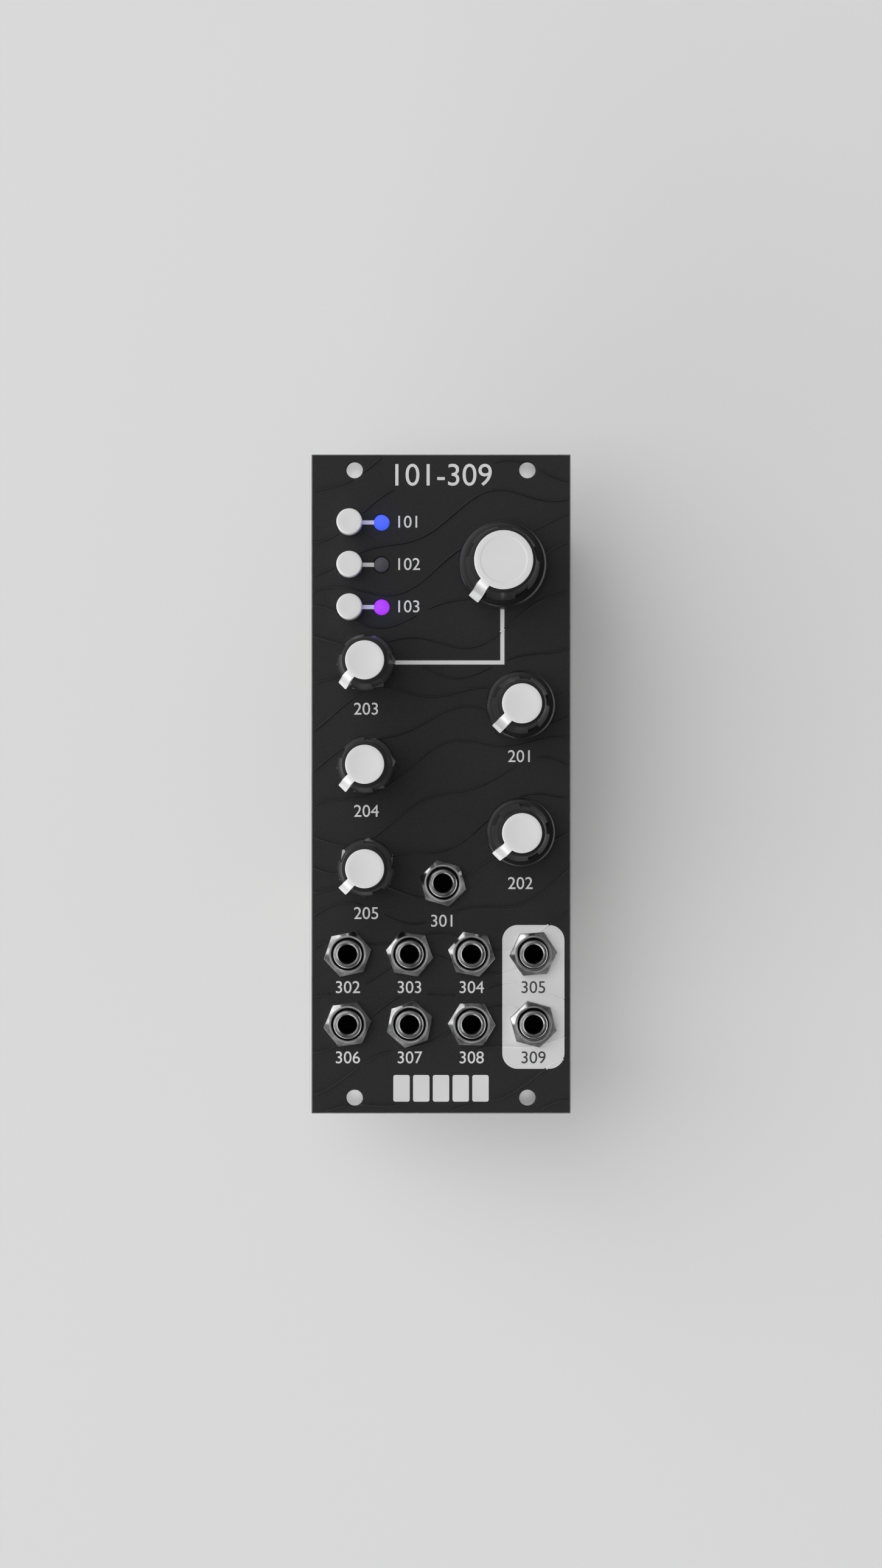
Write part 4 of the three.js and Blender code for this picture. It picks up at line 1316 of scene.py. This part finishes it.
def make_back_parts():
    chips, legs, ceramics, crystal, tantalums = (bmesh.new() for _ in range(5))
    for chip in CHIPS:
        add_chip(chips, legs, *chip)
    for place in TANTALUM_PLACES:
        add_part(tantalums, *place, TANTALUM_SIZE, SURFACE_GAP, TANTALUM_EDGE)
    add_part(crystal, *CRYSTAL_PLACE, CRYSTAL_SIZE, SURFACE_GAP, CRYSTAL_EDGE)
    for x, y, dark in scatter_places():
        add_part(chips if dark else ceramics, x, y, SMALL_SIZE, SMALL.gap, SMALL.edge)
        for side in SIDES:
            add_part(legs, x, y + side * SMALL.end_reach, SMALL_END, SMALL.end_gap)
    add_piece(chips, "main_board_chips", CHIP_PLASTIC, "black_plastic")
    add_piece(legs, "main_board_leads", TIN, "steel")
    add_piece(ceramics, "main_board_ceramics", CERAMIC, "nylon")
    add_piece(crystal, "main_board_crystal", STEEL, "steel")
    add_piece(tantalums, "main_board_tantalums", TANTALUM, "nylon")


# Stage

FLOOR_REACH = 3.0
FLOOR_CLOUD = 2
FLOOR_GREYS = (0.66, 0.675)
FLOOR_ROUGHNESS = 0.9
FLOOR_SPECULAR = 0.1


def floor_material():
    material, tree, shader = new_material("pale_floor")
    color = add_ramp(tree, add_noise(tree, FLOOR_CLOUD), *FLOOR_GREYS)
    fill_inputs(tree, shader, {
        "Base Color": color,
        "Roughness": FLOOR_ROUGHNESS,
        "Specular IOR Level": FLOOR_SPECULAR,
    })
    return material


def make_stage():
    bm = bmesh.new()
    for x, y in rectangle(-FLOOR_REACH, -FLOOR_REACH, FLOOR_REACH, FLOOR_REACH):
        bm.verts.new((x, y, cad_low.z))
    bm.faces.new(bm.verts)
    floor = add_object("floor", mesh_of(bm, "floor"))
    floor.data.materials.append(floor_material())


# Light

# Each rectangle by the degrees round the panel and above it, its distance, width and height in metres,
# and its power
LIGHTS = {
    "key": (149, 46, 3.2, 3.6, 5, 98.5),
    "low_left": (226, 10, 3, 4.4, 1.1, 78),
    "right_card": (-8, 10, 3, 6.5, 1.1, 90),
    "fill": (90, 90, 1.6, 0.12, 0.12, 8.3),
}
SKY_START, SKY_MIDDLE, SKY_END = 1.0, 0.5, 0.06
SKY_MIDDLE_PLACE, SKY_END_PLACE = 0.25, 0.6
GLOW_COLOR = (0.05, 0.04, 1)
GLOW_POWER = 0.00022
GLOW_RADIUS = 1 * MM


def make_sky():
    """A world that is bright at the horizon and dark overhead."""
    world = bpy.data.worlds.new("studio")
    bpy.context.scene.world = world
    world.use_nodes = True
    tree = world.node_tree
    place = add_node(tree, "TexCoord").outputs["Generated"]
    height = add_node(tree, "SeparateXYZ", {"Vector": place}).outputs["Z"]
    color = add_ramp(tree, height, SKY_START, SKY_END, 0, SKY_END_PLACE)
    color.node.color_ramp.elements.new(SKY_MIDDLE_PLACE).color = rgba(SKY_MIDDLE)
    fill_inputs(tree, tree.nodes["Background"], {"Color": color})


def add_area(name, turn, rise, distance, width, height, power):
    light = bpy.data.lights.new(name, "AREA")
    light.shape = "RECTANGLE"
    light.size, light.size_y = width, height
    light.energy = power
    turn, rise = math.radians(turn), math.radians(rise)
    flat = Vector((math.cos(turn), math.sin(turn), 0)) * math.cos(rise)
    lamp = add_object(name, light)
    lamp.location = (flat + Vector((0, 0, math.sin(rise)))) * distance
    lamp.rotation_euler = (-lamp.location).to_track_quat("-Z", "Y").to_euler()
    return lamp


def add_glow(name):
    """The light that a lit lamp throws on what stands round it."""
    light = bpy.data.lights.new(name + "_glow", "POINT")
    light.color = GLOW_COLOR
    light.energy = GLOW_POWER
    light.shadow_soft_size = GLOW_RADIUS
    lamp = add_object(name + "_glow", light)
    lamp.location = on_panel(name)
    lamp.location.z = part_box(name)[1].z + GLOW_RADIUS + SURFACE_GAP
    lamp.visible_camera = False


def make_light():
    make_sky()
    lights = {name: add_area(name, *numbers) for name, numbers in LIGHTS.items()}
    lights["right_card"].visible_diffuse = False
    lights["fill"].visible_glossy = False
    for lamp in (LAMPS[0], LAMPS[2]):
        add_glow(lamp)


# Camera: straight above the panel's middle

CAMERA_HEIGHT = 722 * MM
CAMERA_LENS = 85
CAMERA_SENSOR = 36


def make_camera():
    data = bpy.data.cameras.new("camera")
    data.lens = CAMERA_LENS
    data.sensor_width = CAMERA_SENSOR
    camera = add_object("camera", data)
    camera.location = (0, 0, PANEL_FRONT + CAMERA_HEIGHT)
    bpy.context.scene.camera = camera


# The whole module

LAMP_FINISHES = [(BLUE_LAMP, "lamp_blue"), (UNLIT_LAMP, "lamp_unlit"), (VIOLET_LAMP, "lamp_violet")]


def finish_node(name, material):
    """Gives a material to a node that stays as it is."""
    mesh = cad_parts[name].data
    mesh.materials.clear()
    mesh.materials.append(material)


make_panel()
make_print()
make_waves()
for knob, degrees in zip(KNOBS, POT_NUT_DEGREES):
    make_knob_body(knob)
    make_knob_cap(knob)
    make_potentiometer(knob, degrees)
    finish_node(knob + "_shaft", SHAFT_METAL)
for jack, degrees in zip(JACKS, JACK_NUT_DEGREES):
    make_jack(jack, degrees)
for button in BUTTONS:
    make_button(button)
    make_switch(button)
for lamp, (material, slot) in zip(LAMPS, LAMP_FINISHES):
    make_lamp(lamp, material, slot)
for spacer in SPACERS:
    make_spacer(spacer)
for board in ("control_board", "main_board"):
    make_board(board)
make_connectors()
make_power_header()
make_solder()
make_back_parts()
make_cans()
make_stage()
make_light()
make_camera()

bpy.context.scene.view_settings.view_transform = "Standard"
